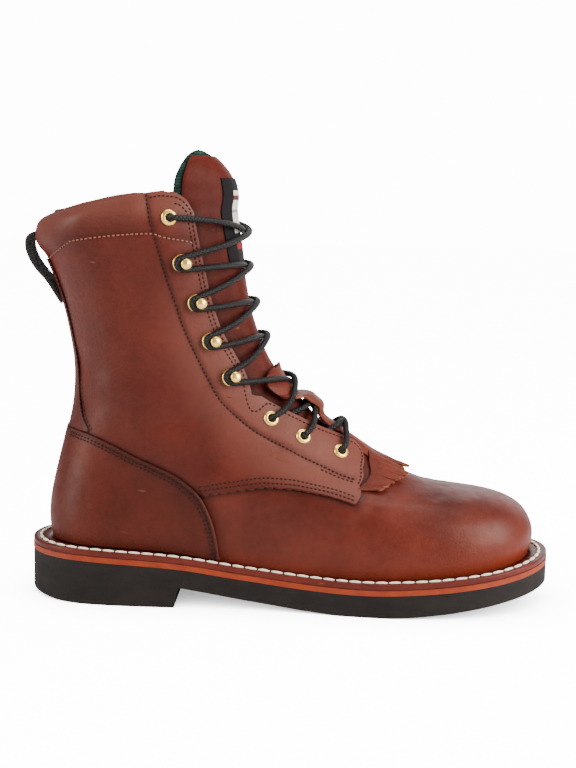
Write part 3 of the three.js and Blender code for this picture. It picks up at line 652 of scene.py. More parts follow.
# %% [markdown]
# The leather isn't one smooth shell. It is thicker along the facing, it swells over the collar's
# pad above its seam, it is pulled in by each seam's thread, and the ankle has folded it.
# %% The quarters' relief
shaft_folds = [
    ([(8.6, 0.30), (9.3, 0.40), (9.6, 0.52)], 7 * mm, 0.7 * mm),
    ([(9.9, 0.14), (10.3, 0.26), (10.1, 0.40), (9.9, 0.5)], 8 * mm, 0.6 * mm),
    ([(11.8, 0.15), (11.9, 0.28), (11.4, 0.42), (11.0, 0.54)], 10 * mm, 0.6 * mm),
    ([(7.3, 0.44), (7.9, 0.54), (8.3, 0.63)], 6 * mm, 0.5 * mm),
]
facing_layer, collar_swell, seam_pull = 0.35 * mm, 2.1 * mm, 0.45 * mm
rim_dip, rim_rise = -3.8 * mm, 3.0 * mm


def padding(section, around):
    behind_eyelets = 1 - ease(0.4, 0.56, fold(around))
    return collar_padding * behind_eyelets * ease(padding_from, padding_to, section)


def quarter_raised(section, around):
    """The height of the quarter's outer face over the last, without its seams' troughs."""
    around = fold(around)
    facing = ease(-0.010, 0.004, around - facing_at(section)) * ease(7.0, 7.6, section)
    above = section - collar_line(around)
    puff = ease(-0.05, 1.1, above) * (1 - 0.6 * ease(1.4, 3.0, above))
    puff = puff * (1 - ease(0.50, 0.565, around))
    return quarter_leather + facing_layer * facing + collar_swell * puff


seam_lines = [
    trace(path, quarter_leather, mm, side)[2]
    for path in (facing_seam, collar_seam) for side in sides
]


def rim_lift(section, around):
    """The rim dips at the heel and rises at the front."""
    at_front = ease(0.16, 0.6, fold(around))
    return mix(rim_dip, rim_rise, at_front) * ease(padding_to, top_section, section)


def quarter_surface(section, around):
    points = skin(section, around, quarter_leather)
    raised = quarter_raised(section, around)
    raised = raised - seam_pull * nearness(points, seam_lines, 1.5 * mm)
    return raised + creased(points, shaft_folds)


print("folds on each side of the shaft:", len(shaft_folds))

# %% [markdown]
# The panel's grid is laid from these: its lower rows fan out from the vamp, its upper rows run
# level, and the last eighth of them rolls over the rim in half a turn and goes down inside.
# %% Quarters with the rolled collar
turn_share, inside_sections, rim_roundness = 0.6, 1.4, 0.31


def quarter_places(u, v):
    """Section and signed round of each grid point; the inner side's rounds are negative."""
    row = np.interp(np.minimum(v, roll_from), row_places, row_sections)
    around = (2 * u - 1) * front_edge(row)
    base = lower_edge(np.abs(around))
    share = (row - corner_section) / (top_section - corner_section)
    return mix(base, top_section, share), around


def quarter_place(u, v):
    section, around = quarter_places(u, v)
    roll = np.clip((v - roll_from) / (1 - roll_from), 0, 1)
    turned = math.pi * np.minimum(roll / turn_share, 1)
    outside = quarter_surface(section, around)
    inside = -vamp_thickness - padding(section, around)
    raised = np.where(roll > 0, mix(outside, inside, (1 - np.cos(turned)) / 2), outside)
    down = inside_sections * np.clip((roll - turn_share) / (1 - turn_share), 0, 1)
    points = skin(section - down, around, raised)
    points[:, 2] += rim_roundness * (outside - inside) * np.sin(turned)
    points[:, 2] += rim_lift(section - down, around)
    return points


def quarter_marks(u, v, points):
    section, around = quarter_places(u, v)
    edges, counter, lower, backs = (
        [trace(path, quarter_leather, mm, side)[2] for side in sides]
        for path in (throat_edge, counter_edge, quarter_lower, backstay_edge)
    )
    # Painted shade along the seams and a painted highlight on the lacing edge, painted shadow beside the
    # counter and the backstay, and darker towards the lower edge.
    dark = 0.42 * nearness(points, seam_lines, 1.6 * mm) - 0.3 * nearness(points, edges, 0.8 * mm)
    dark += 0.55 * nearness(points, counter + backs, 2.6 * mm)
    dark += 0.3 * nearness(points, lower, 5 * mm)
    # Lighter above the collar's seam, where it is rubbed, and painted light low on the quarters' front,
    # where the right lamp falls.
    wear_and_painted_light = 0.5 * ease(0.2, 1.4, section - collar_line(np.abs(around)))
    wear_and_painted_light += 0.55 * ease(0.46, 0.62, np.abs(around)) * (1 - ease(12, 16, section))
    return {"dark": np.clip(dark, 0, 1), "burnish": np.clip(wear_and_painted_light, 0, 0.6)}


quarter_grid = flat_grid(250, 150, quarter_place, quarter_marks)
quarters = make_piece(quarter_grid, "quarters", [upper_leather])
thicken(quarters, 1.3 * mm, 0.35 * mm)

# %% [markdown]
# Inside, a green knitted lining follows the same edges a little further in, and shows as a thin
# second layer at the lacing edge. It is the same kind of grid, one leather lower down. Its knit is
# a wave that runs level round the leg.
# %% Lining
lining_material, lining_surface = new_material("lining_cloth")
knit_place = {"Vector": own_place(lining_material), "Scale": 190.0, "Distortion": 0.6}
weave = node(lining_material, "ShaderNodeTexWave", knit_place, bands_direction="Z")
greens = [(0.35, from_hex("#10211a")), (0.7, from_hex("#26433a"))]
lining_colour = ramp(lining_material, mottle(lining_material, 0.004), greens)
knit_shade = ramp(lining_material, weave.outputs["Fac"], [(0.1, grey(0.35)), (0.7, grey(1))])
lining_colour = blend_colours(lining_material, 1.0, lining_colour, knit_shade, "MULTIPLY")
join(lining_material, lining_colour, lining_surface.inputs["Base Color"])
knit_relief = bump(lining_material, weave.outputs["Fac"], 0.0003, 0.6)
join(lining_material, knit_relief, lining_surface.inputs["Normal"])
finish(lining_surface, {"Roughness": 0.9, "Specular IOR Level": 0.15})
throat_foot, throat_foot_at = throat_edge[18]


def lining_place(u, v):
    section = mix(7.6, 18.2, v)
    reach = np.where(section > throat_foot, front_edge(section), throat_foot_at) - 0.004
    around = (2 * u - 1) * reach
    sunk = 0.1 * mm + 0.9 * mm * ease(0.4, 0.6, 1 - np.abs(around))
    return skin(section, around, -sunk - padding(section, around))


lining = make_piece(flat_grid(150, 70, lining_place), "lining", [lining_material])
thicken(lining, 2.0 * mm)

# %% [markdown]
# Every layer of the sole is a plate cut to a footprint, as a die would cut it. A plate starts as a
# grid on its underside, gets its top by extruding that grid's faces, and Bevel breaks its edges.
# Its stations are closer in plan at the heel and toe, and two stand exactly at the heel's breast.
# %% A helper for sole plates
def outline(row, around, grown=0.0):
    """Places on a footprint's edge in plan, moved out from it by grown."""
    rows = np.tile(row, (len(around), 1))

    def edge(at):
        return np.stack(plan(rows, at, 1)[:2], axis=1)

    ahead = unit(edge(around + 0.002) - edge(around - 0.002))
    return edge(around) + np.stack([ahead[:, 1], -ahead[:, 0]], axis=1) * grown


breast = np.arccos(1 - 2 * np.array([breast_back, breast_front])) / math.pi
stations = np.sort(np.concatenate([np.linspace(0, 1, 149), breast]))


def plate(name, row, grown, low, high, material, rounding=0.4 * mm):
    def place(u, v):
        around = np.interp(u, np.linspace(0, 1, len(stations)), stations)
        flat = mix(outline(row, around, grown), outline(row, 2 - around, grown), v[:, None])
        return np.column_stack([flat, low(flat[:, 0])])

    bm = flat_grid(len(stations) - 1, 26, place)
    bmesh.ops.remove_doubles(bm, verts=bm.verts, dist=0.01 * mm)
    lifted = bmesh.ops.extrude_face_region(bm, geom=bm.faces[:])["geom"]
    lifted = [item for item in lifted if isinstance(item, bmesh.types.BMVert)]
    for vert, height in zip(lifted, high(np.array([vert.co.x for vert in lifted]))):
        vert.co.z = height
    bmesh.ops.recalc_face_normals(bm, faces=bm.faces)
    made = make_piece(bm, name, [material], [name])
    edge = made.modifiers.new("broken edge", "BEVEL")
    edge.width, edge.segments, edge.limit_method = rounding, 2, "ANGLE"
    edge.angle_limit, edge.harden_normals = math.radians(50), True
    return made


print("stations round half a footprint:", len(stations))

# %% [markdown]
# The sole's three materials are matt and plain: scuffed near-black rubber, a warm orange crepe
# and pale undyed insole leather. Each takes a soft mottle between two close colours.
# %% Rubber, crepe and insole leather
rubber, rubber_surface = new_material("outsole_rubber")
scuffs = mottle(rubber, 0.012, 6, (0.6, 1, 1.6))
rubber_colour = ramp(rubber, scuffs, [(0.3, from_hex("#171210")), (0.75, from_hex("#221c18"))])
join(rubber, rubber_colour, rubber_surface.inputs["Base Color"])
join(rubber, bump(rubber, mottle(rubber, 0.0012, 3), 0.0002, 0.4), rubber_surface.inputs["Normal"])
finish(rubber_surface, {"Roughness": 0.7, "Specular IOR Level": 0.18})

crepe, crepe_surface = new_material("midsole_crepe")
oranges = [(0.3, from_hex("#7e290d")), (0.7, from_hex("#903410"))]
join(crepe, ramp(crepe, mottle(crepe, 0.009, 4), oranges), crepe_surface.inputs["Base Color"])
finish(crepe_surface, {"Roughness": 0.5, "Specular IOR Level": 0.25})

insole_material, insole_surface = new_material("insole_leather")
tans = [(0.3, from_hex("#8d6a44")), (0.7, from_hex("#b08d62"))]
insole_colour = ramp(insole_material, mottle(insole_material, 0.02), tans)
join(insole_material, insole_colour, insole_surface.inputs["Base Color"])
finish(insole_surface, {"Roughness": 0.8})
print("sole materials:", rubber.name, crepe.name, insole_material.name)

# %% [markdown]
# The outsole and its heel are one plate, because the rubber is moulded in one. The midsole
# follows the rubber's top, and the insole lies inside the upper's foot.
# %% Outsole, midsole and insole
def above_rubber(lift):
    return lambda x: rubber_top(x) + lift


plate("outsole", sole_edge, 0, rubber_bottom, rubber_top, rubber, 0.7 * mm)
plate(
    "midsole", sole_edge, 0.2 * mm, above_rubber(0.1 * mm), above_rubber(midsole_top), crepe,
)
plate(
    "insole", feather, -vamp_thickness - 0.7 * mm, above_rubber(feather_lift),
    above_rubber(feather_lift + insole_thickness), insole_material, 1 * mm,
)

# %% [markdown]
# The welt is a strip of leather that runs right round the boot, and the upper is sewn to it. Its
# cross-section is a list of corners, each given in millimetres by how far in from the edge and
# how high above the rubber it lies, with a shallow channel for the thread.
# %% Welt
welt_profile = np.array([
    (0.3, 3.4), (0, 3.7), (0, 6.1), (0.2, 6.55), (0.7, 6.8), (3.2, 6.8), (3.7, 6.45), (4.6, 6.3),
    (5.5, 6.45), (6.0, 6.8), (20, 6.7), (20, 3.4),
])
welt_corners = len(welt_profile)


def welt_line(around, inset, height):
    """A line round the boot, inset from the sole's edge but never past the upper's foot."""
    edge, foot = outline(sole_edge, around), outline(feather, around, 0.1 * mm)
    width = np.linalg.norm(foot - edge, axis=1)
    flat = mix(edge, foot, np.minimum(inset * mm / width, 1)[:, None])
    return np.column_stack([flat, rubber_top(flat[:, 0]) + height * mm])


def welt_place(u, v):
    corner = np.rint(v * welt_corners).astype(int) % welt_corners
    return welt_line(2 * u, welt_profile[corner, 0], welt_profile[corner, 1])


welt_leather = leather("welt_leather", "#62251f", "#461612", "#8a3a20", 0.38)
welt_grid = flat_grid(320, welt_corners, welt_place)
bmesh.ops.remove_doubles(welt_grid, verts=welt_grid.verts, dist=0.01 * mm)
bmesh.ops.recalc_face_normals(welt_grid, faces=welt_grid.faces)
make_piece(welt_grid, "welt", [welt_leather], ["welt"])

# %% [markdown]
# A stitch is a small ball, stretched along its seam and flattened on to the leather. A row of
# them is set out at an even pitch, and all of a row's stitches are one piece.
# %% Stitches and thread
def sew(name, lines, material, slot, pitch, length, width, height, detail=1):
    """Stitches along lines; a line holds its points and which way is out at each of them."""
    bm = bmesh.new()
    for points, out in lines:
        run = np.concatenate([[0], np.cumsum(np.linalg.norm(np.diff(points, axis=0), axis=1))])
        count = max(1, round(run[-1] / pitch))
        for middle in (np.arange(count) + 0.5) * run[-1] / count:
            start, end = (
                Vector([np.interp(stop, run, axis) for axis in points.T])
                for stop in (middle - 0.4 * length, middle + 0.4 * length)
            )
            ahead = (end - start).normalized()
            up = Vector([np.interp(middle, run, axis) for axis in out.T])
            side = up.cross(ahead).normalized()
            halves = (ahead * length / 2, side * width / 2, ahead.cross(side) * height / 2)
            place = Matrix.Translation((start + end) / 2) @ Matrix(halves).transposed().to_4x4()
            bmesh.ops.create_icosphere(bm, subdivisions=detail, radius=1, matrix=place)
    return make_piece(bm, name, [material])


def thread(name, colour, roughness=0.7):
    material, surface = new_material(name)
    twist = mottle(material, 0.0006, 2)
    join(material, bump(material, twist, 0.0002, 0.5), surface.inputs["Normal"])
    finish(surface, {
        "Base Color": from_hex(colour), "Roughness": roughness, "Specular IOR Level": 0.15,
    })
    return material


cream_thread = thread("cream_thread", "#fff2d6")
round_boot = np.linspace(0, 2, 900)
channel_in, thread_height = 4.6, 6.9
welt_seam = welt_line(round_boot, channel_in, thread_height)
upward = np.tile([0.0, 0.0, 1.0], (len(round_boot), 1))
welt_pitch, welt_stitch = 7.7 * mm, (7.3 * mm, 2.2 * mm, 1.5 * mm)
sew(
    "welt_stitches", [(welt_seam, upward)], cream_thread, "welt_leather",
    welt_pitch, *welt_stitch, detail=2,
)

# %% [markdown]
# The counter wraps the heel over the quarters. Its grid runs from the welt up to its own curved
# edge, whose corner divides the top of the panel from its front.
# %% Counter
counter_thickness = 1.6 * mm
counter_foot = 1.2
corner = counter_edge[4]
counter_top = behind(counter_edge)
counter_front = np.array(counter_edge)


def counter_place(u, v):
    signed = 2 * u - 1
    edge_round = counter_top(mix(counter_foot, corner[0], v))
    top = np.interp(np.abs(signed) * corner[1], counter_front[:, 1], counter_front[:, 0])
    raised = quarter_leather + 0.1 * mm + counter_thickness
    return skin(mix(counter_foot, top, v), signed * edge_round, raised)


def counter_marks(u, v, points):
    # Painted shadow along its edge; darker and burnished low down, and darker towards its front ends.
    edges = [trace(counter_edge, 3.2 * mm, mm, side)[2] for side in sides]
    low = 1 - ease(0.0, 0.22, v)
    front = 0.3 * ease(0.4, 0.9, np.abs(2 * u - 1))
    dark = 0.42 * nearness(points, edges, 3.6 * mm) + 0.25 * low + front
    return {"dark": np.clip(dark, 0, 1), "burnish": 0.3 * low}


counter = make_piece(
    flat_grid(150, 70, counter_place, counter_marks), "counter", [counter_leather],
    ["counter"],
)
thicken(counter, counter_thickness, 0.5 * mm)

# %% [markdown]
# The backstay is a narrow strip that covers the seam up the back of the shaft. It starts at the
# counter's top edge and ends at the collar's seam, and its two edges are darkened.
# %% Backstay
backstay_thickness = 1.0 * mm
backstay_marks = np.array([
    (8.72, 0.185), (9.4, 0.15), (10.2, 0.127), (11.6, 0.115), (13.2, 0.107), (14.6, 0.107),
    (15.95, 0.109),
])


def backstay_place(u, v):
    section = mix(8.5, backstay_marks[-1, 0], v)
    half = curve_through(backstay_marks[:, 0], backstay_marks[:, 1], section)
    return skin(section, (2 * u - 1) * half, quarter_leather + 0.1 * mm + backstay_thickness)


def backstay_darkness(u, v, points):
    return {"dark": 0.35 * ease(0.75, 1, np.abs(2 * u - 1))}


backstay = make_piece(
    flat_grid(24, 90, backstay_place, backstay_darkness), "backstay", [upper_leather],
    ["backstay"],
)
thicken(backstay, backstay_thickness, 0.4 * mm)

# %% [markdown]
# A raised bead finishes the counter's edge. It is a thin round cord along the edge's line, and the
# same helper makes the lace later: a flat grid is rolled into a tube, its seam is merged and its
# two ends are closed.
# %% Round cords and the counter's bead
def cord_grid(line, radius, columns=12, uv=None):
    """A round cord along a line of points, closed at its ends."""
    line = np.asarray(line, float)
    ahead = unit(np.gradient(line, axis=0))
    across = np.zeros_like(ahead)
    across[0] = np.cross(ahead[0], (0.3, 0.5, 0.81))
    for i in range(len(line)):
        start = across[max(i - 1, 0)]
        level = start - ahead[i] * (start @ ahead[i])
        across[i] = level / np.linalg.norm(level)
    above = np.cross(ahead, across)

    def place(u, v):
        i = np.rint(v * (len(line) - 1)).astype(int)
        angle = (u * 2 * math.pi)[:, None]
        return line[i] + radius * (np.cos(angle) * across[i] + np.sin(angle) * above[i])

    bm = flat_grid(columns, len(line) - 1, place, uv=uv)
    bmesh.ops.remove_doubles(bm, verts=bm.verts, dist=0.01 * mm)
    bmesh.ops.holes_fill(bm, edges=[edge for edge in bm.edges if edge.is_boundary])
    bmesh.ops.recalc_face_normals(bm, faces=bm.faces)
    return bm


for side, name in zip(sides, ("outer", "inner")):
    bead_line = trace(counter_edge[1:], 3.0 * mm, 0.8 * mm, side)[2]
    bead = cord_grid(bead_line, 0.8 * mm, 8)
    make_piece(bead, f"counter_bead_{name}", [edge_leather])

# %% [markdown]
# The tongue fills the throat and stands above the collar, where its top bends forward and rounds
# off. Rows of points follow the last up to the fold, and above it they are copies of the fold's
# row that shrink. The rows make a net, and any point of the tongue is read from it.
# %% The tongue's net
tongue_rise = 35.4 * mm
tongue_marks = np.array([
    (8.15, 0.11), (8.6, 0.16), (9.1, 0.21), (9.7, 0.25), (10.4, 0.28), (11.2, 0.31),
    (12.2, 0.34), (13.4, 0.36), (14.6, 0.375), (16, 0.39), (17.4, 0.395),
])
# Each row holds: ahead, rise, depth, width, tilt
tongue_top = np.array([
    (0.017, 0.249, 0.98, 0.83, 0.2), (-0.031, 0.489, 0.9, 0.81, 0), (-0.147, 0.686, 0.72, 0.77, 0),
    (-0.302, 0.856, 0.49, 0.65, 0), (-0.472, 0.963, 0.22, 0.45, 0), (-0.568, 1, 0.05, 0.2, 0),
])
notch_section = 10.74
throat_marks = np.array([mark for mark in throat_edge[:20] if mark[0] != notch_section])[::-1]


def throat_half(section):
    """Half of the throat's opening, in the same unit as round."""
    return 1 - np.interp(section, throat_marks[:, 0], throat_marks[:, 1])


def tongue_raised(section, around):
    in_throat = 1 - ease(0.35, 0.78, np.abs(around - 1) / throat_half(section))
    return -(vamp_thickness + 0.7 * mm) * (1 - in_throat * ease(9.7, 10.5, section))


tongue_columns = 48


def tongue_net():
    shares = np.linspace(-1, 1, tongue_columns + 1)
    rows = []
    for section, half in tongue_marks:
        around = 1 + shares * half
        rows.append(skin(np.full_like(around, section), around, tongue_raised(section, around)))
    fold_row = rows[-1]
    front = fold_row[tongue_columns // 2]
    for ahead, rise, depth, width, tilt in tongue_top:
        scaled = front + (fold_row - front) * (depth, width, tilt)
        rows.append(scaled + np.array([ahead, 0, rise]) * tongue_rise)
    return np.array(rows)


tongue_rows = tongue_net()
tongue_span = len(tongue_rows) - 1


def tongue_at(share, number, inwards=0.0):
    """Points of the tongue's front at a share from its outer to inner edge and a row number."""
    each = np.arange(len(share))

    def surface(at_share, at_number):
        net = rows_at(tongue_rows, at_number)
        column = np.clip(at_share, 0, 1) * tongue_columns
        low = np.minimum(column.astype(int), tongue_columns - 1)
        return mix(net[each, low], net[each, low + 1], (column - low)[:, None])

    number = np.clip(number, 0.02, tongue_span - 0.02)
    climb = surface(share, number + 0.02) - surface(share, number - 0.02)
    forward = surface(share + 0.02, number) - surface(share - 0.02, number)
    return surface(share, number) - unit(np.cross(forward, climb)) * np.reshape(inwards, (-1, 1))


print("tongue's top stands", round(float(tongue_rows[-1][:, 2].max()) / mm), "mm above the floor")

# %% [markdown]
# The front of the tongue is one leather. It stops short of the net's last rows, and its edges draw
# in above the fold, so that the padding behind it shows. Beside the facings it gets painted shadow.
# %% The tongue's leather
def narrowed(u, number, by):
    """The share across the tongue when its edges draw in above the fold."""
    return 0.5 + (u - 0.5) * (1 - by * ease(7.5, 10, number))


def tongue_place(u, v):
    number = v * (tongue_span - 1.6)
    return tongue_at(narrowed(u, number, 0.14), number)


def tongue_darkness(u, v, points):
    facings = [trace(throat_edge, -2.4 * mm, mm, side)[2] for side in sides]
    return {"dark": 0.95 * nearness(points, facings, 4.2 * mm)}


tongue = make_piece(
    flat_grid(tongue_columns, 150, tongue_place, tongue_darkness), "tongue_leather_front",
    [tongue_leather], ["tongue"],
)
thicken(tongue, 1.5 * mm, 0.5 * mm)

# %% [markdown]
# A padded lining backs the leather and shows as a green rim round its upper edge. It fills a
# little more than the leather's outline, and foam fills it.
# %% The tongue's padding
def tongue_back_place(u, v):
    number = v * (tongue_span - 0.04)
    edge = np.minimum(1, 4 * np.minimum(u, 1 - u))
    points = tongue_at(narrowed(u, number, 0.07), number, 1.3 * mm + 0.4 * mm * edge)
    points[:, 2] += 1.5 * mm * ease(tongue_span - 4, tongue_span, number)
    return points


tongue_padding = make_piece(
    flat_grid(tongue_columns, 120, tongue_back_place), "tongue_padding", [lining_material],
)
thicken(tongue_padding, 3.1 * mm, 1.1 * mm)

# %% [markdown]
# A woven label is sewn to the tongue's front. It is left plain: a dark cloth whose pale middle is
# crossed by a few bands, with a red one at its foot, and with no lettering.
# %% Label
label_material, label_surface = new_material("label_cloth")
label_map = node(label_material, "ShaderNodeUVMap", uv_map="label").outputs["UV"]
label_axes = node(label_material, "ShaderNodeSeparateXYZ", {"Vector": label_map})


def bands(factor, stops):
    made = ramp(label_material, factor, [(place, from_hex(colour)) for place, colour in stops])
    made.node.color_ramp.interpolation = "CONSTANT"
    return made


across_label = bands(label_axes.outputs["X"], [(0, "#000000"), (0.2, "#ffffff"), (0.8, "#000000")])
up_label = bands(label_axes.outputs["Y"], [
    (0, "#1f1a1c"), (0.12, "#7a1f22"), (0.17, "#1f1a1c"), (0.24, "#cfc7bb"), (0.42, "#8f8680"),
    (0.46, "#cfc7bb"), (0.62, "#5a2a2c"), (0.7, "#cfc7bb"), (0.78, "#1f1a1c"),
])
label_colour = blend_colours(label_material, across_label, from_hex("#120d0f"), up_label)
join(label_material, label_colour, label_surface.inputs["Base Color"])
finish(label_surface, {"Roughness": 0.75, "Specular IOR Level": 0.15})
label_threads = {"Vector": label_map, "Scale": 22.0}
label_weave = node(label_material, "ShaderNodeTexWave", label_threads, bands_direction="Y")
label_relief = bump(label_material, label_weave.outputs["Fac"], 0.0001, 0.4)
join(label_material, label_relief, label_surface.inputs["Normal"])
label_from, label_to = 8.3, 12.25


def label_place(u, v):
    return tongue_at(0.5 + (u - 0.5) * 0.4, mix(label_from, label_to, v), -0.8 * mm)


label = make_piece(
    flat_grid(16, 60, label_place, uv="label"), "tongue_label", [label_material],
    ["tongue_label"],
)
thicken(label, 0.7 * mm, 0.2 * mm)

# %% [markdown]
# The kiltie is a folded flap over the lower lacing. Its upper end arches over one crossing of the
# lace, and its front is cut into strips with pinked ends that fan out over the vamp. One table
# gives the flap. A row holds the sections of its middle and of its edges, half its width in
# rounds, and how high it arches, in lace diameters.
# %% Kiltie
lace_diameter = 3.6 * mm
kiltie_thickness = 1.5 * mm
seat = 0.7 * mm
kiltie_table = np.array([
    (7.45, 6.4, 0.28, 0), (7.75, 7.2, 0.225, 0), (8.05, 7.85, 0.155, 0.03),
    (8.36, 8.28, 0.085, 0.06), (8.62, 8.62, 0.045, 0.06), (8.95, 8.95, 0.06, 0.03),
    (9.35, 9.35, 0.1, 0.03), (9.75, 9.75, 0.085, 0.08), (9.95, 9.95, 0.085, 1.36),
    (10.2, 10.2, 0.1, 1.53), (10.42, 10.42, 0.11, 1.36), (10.6, 10.6, 0.165, 0.14),
    (10.82, 10.82, 0.195, 0.03), (11.1, 11.1, 0.2, 0), (11.5, 11.45, 0.165, 0.11),
    (11.76, 11.62, 0.1, 0.5),
])
kiltie_rows = len(kiltie_table) - 1


def kiltie_at(column, number, lift=0.0):
    """Places on the flap: column from -1 to 1 across, number a row of the table."""
    row = rows_at(kiltie_table, number)
    section = mix(row[:, 0], row[:, 1], np.abs(column) ** 1.5)
    low = (1 - ease(4.3, 5.6, number)) * ease(1.0, 2.6, number)
    half = mix(row[:, 2], np.maximum(row[:, 2], throat_half(section) + 0.014), low)
    tucked = 1.3 * mm * low * ease(0.55, 1, np.abs(column))
    raised = seat + 0.1 * mm + kiltie_thickness + row[:, 3] * lace_diameter + lift - tucked
    return skin(section, 1 + column * half, raised)


def flap_place(u, v):
    number = mix(2.4, kiltie_rows, v)
    ruffle = 0.5 * mm * np.sin(number * 3.1 + u * 2) * np.abs(2 * u - 1) * ease(9, 12, number)
    return kiltie_at(2 * u - 1, number, ruffle)


def flap_marks(u, v, points):
    raw = ease(0.93, 1.0, np.abs(2 * u - 1)) * ease(0.35, 0.5, v) * (1 - ease(0.62, 0.7, v))
    return {"burnish": 0.8 * raw, "dark": 0.2 * (1 - raw) * ease(0.6, 1, v)}


flap = make_piece(
    flat_grid(40, 150, flap_place, flap_marks), "kiltie_flap", [kiltie_leather],
    ["kiltie"],
)
thicken(flap, kiltie_thickness, 0.4 * mm)

# %% [markdown]
# The flap's front is cut into strips that come out from under the quarters' front edges and run
# towards the toe. Two lines on the last, one for the strips' roots and one for their tips, say how
# they spread, and every tip is pinked.
# %% Fringe
strips_a_side = 6
root_line = np.array([
    (8.5, 0), (8.45, 0.045), (8.2, 0.105), (7.95, 0.15), (7.55, 0.2), (7.0, 0.268), (6.45, 0.325),
])
tip_line = np.array([
    (7.46, 0), (7.44, 0.045), (7.3, 0.09), (7.12, 0.14), (6.93, 0.19), (6.62, 0.245),
    (6.24, 0.292),
])


def strip_at(column, share, raised):
    """Places from the roots at share 0 to the tips at share 1, for a column from -1 to 1."""
    spot = np.abs(column) * (len(root_line) - 1)
    places = mix(rows_at(root_line, spot), rows_at(tip_line, spot), share[:, None])
    return skin(places[:, 0], 1 + np.sign(column) * places[:, 1], raised)


def make_strip(low, width, wave):
    """One strip, from a column and as wide as width; its wave says how far its tip lifts."""
    def place(u, v):
        teeth = 0.28 * np.abs((u * 2) % 1 - 0.5) * ease(0.75, 1, v)
        column = low + width * (0.5 + (u - 0.5) * mix(0.99, 0.95, v))
        crown = 0.7 * mm * (1 - (2 * u - 1) ** 2) * ease(0.1, 0.7, v)
        raised = mix(1.5, 1.9, v) * mm + crown + (0.5 + 0.5 * wave) * 1.3 * mm * v ** 3
        raised = raised + 0.9 * mm * (1 - ease(0.25, 0.6, np.abs(column)))
        return strip_at(-column, v * (1.0 + 0.05 * wave) - teeth, raised)

    def marks(u, v, points):
        edge = ease(0.7, 1, np.abs(2 * u - 1))
        glow = 0.12 * edge + 0.4 * ease(0.95, 1, v)
        # Painted shadow at the roots, where the strips come out from under the quarters.
        return {"burnish": np.clip(glow, 0, 1), "dark": 0.3 * (1 - ease(0, 0.5, v))}

    return flat_grid(8, 24, place, marks)


fringe = bmesh.new()
for strip in range(2 * strips_a_side):
    width = 1 / strips_a_side
    cut = make_strip(strip * width - 1, width, math.sin(strip * 2.4))
    part = bpy.data.meshes.new("strip")
    cut.to_mesh(part)
    cut.free()
    fringe.from_mesh(part)
    bpy.data.meshes.remove(part)
fringe_piece = make_piece(fringe, "kiltie_fringe", [kiltie_leather])
thicken(fringe_piece, 1.2 * mm, 0.3 * mm)

# %% [markdown]
# The pull loop is a strap of dark webbing. Its weave is drawn on the strap's own map, so that the
# ribs run straight across it however the strap bends.
# %% Webbing
webbing, webbing_surface = new_material("webbing")
webbing_map = node(webbing, "ShaderNodeUVMap", uv_map="weave").outputs["UV"]
ribs = node(webbing, "ShaderNodeTexWave", {"Vector": webbing_map, "Scale": 11.0}, bands_direction="Y")
cords = node(webbing, "ShaderNodeTexWave", {"Vector": webbing_map, "Scale": 2.6}, bands_direction="X")
blacks = [(0.1, from_hex("#171412")), (0.8, from_hex("#3b332d"))]
webbing_colour = ramp(webbing, ribs.outputs["Fac"], blacks)
join(webbing, webbing_colour, webbing_surface.inputs["Base Color"])
across_cords = bump(webbing, cords.outputs["Fac"], 0.0004, 0.6)
webbing_relief = bump(webbing, ribs.outputs["Fac"], 0.0003, 0.6, across_cords)
join(webbing, webbing_relief, webbing_surface.inputs["Normal"])
finish(webbing_surface, {"Roughness": 0.85})
print("webbing's nodes:", len(webbing.node_tree.nodes))

# %% [markdown]
# The strap leaves the collar at the back, stands off the shaft in a loop, and dives under the
# backstay's leather. It keeps its width all along, however wide the back of the last is there.
# %% Pull loop
strap_width, strap_thickness = 16 * mm, 2.4 * mm
strap_nudge = 0.01

# Each place holds the section, and how far off the last the strap's middle stands there
loop_spine = np.array([
    (17.2, -0.5 * mm), (17.18, 2.6 * mm), (17.06, 5.6 * mm), (16.8, 7.1 * mm), (16.45, 7.8 * mm),
    (16.1, 7.9 * mm), (15.7, 7.0 * mm), (15.35, 5.6 * mm), (15.0, 4.2 * mm), (14.65, 3.0 * mm),
    (14.35, 1.8 * mm), (14.1, 0.6 * mm),
])


def loop_place(u, v):
    places = rows_at(loop_spine, v * (len(loop_spine) - 1))
    section, middle = places[:, 0], places[:, 1]
    across = bare(section, 0 * u + strap_nudge) - bare(section, 0 * u - strap_nudge)
    one_round = np.linalg.norm(across, axis=1) / (2 * strap_nudge)
    return skin(section, (u - 0.5) * strap_width / one_round, middle + strap_thickness / 2)


pull_loop = make_piece(
    flat_grid(16, 90, loop_place, uv="weave"), "pull_loop", [webbing], ["pull_loop"],
)
thicken(pull_loop, strap_thickness, 0.6 * mm)

# %% [markdown]
# The eyelets and hooks are polished brass, with a faint unevenness that breaks up reflections.
# %% Brass
brass, brass_surface = new_material("brass")
finish(brass_surface, {"Base Color": from_hex("#ffd670"), "Metallic": 0.75, "Roughness": 0.24})
join(brass, bump(brass, mottle(brass, 0.002, 2), 0.00008, 0.4), brass_surface.inputs["Normal"])
print("metal:", brass.name)

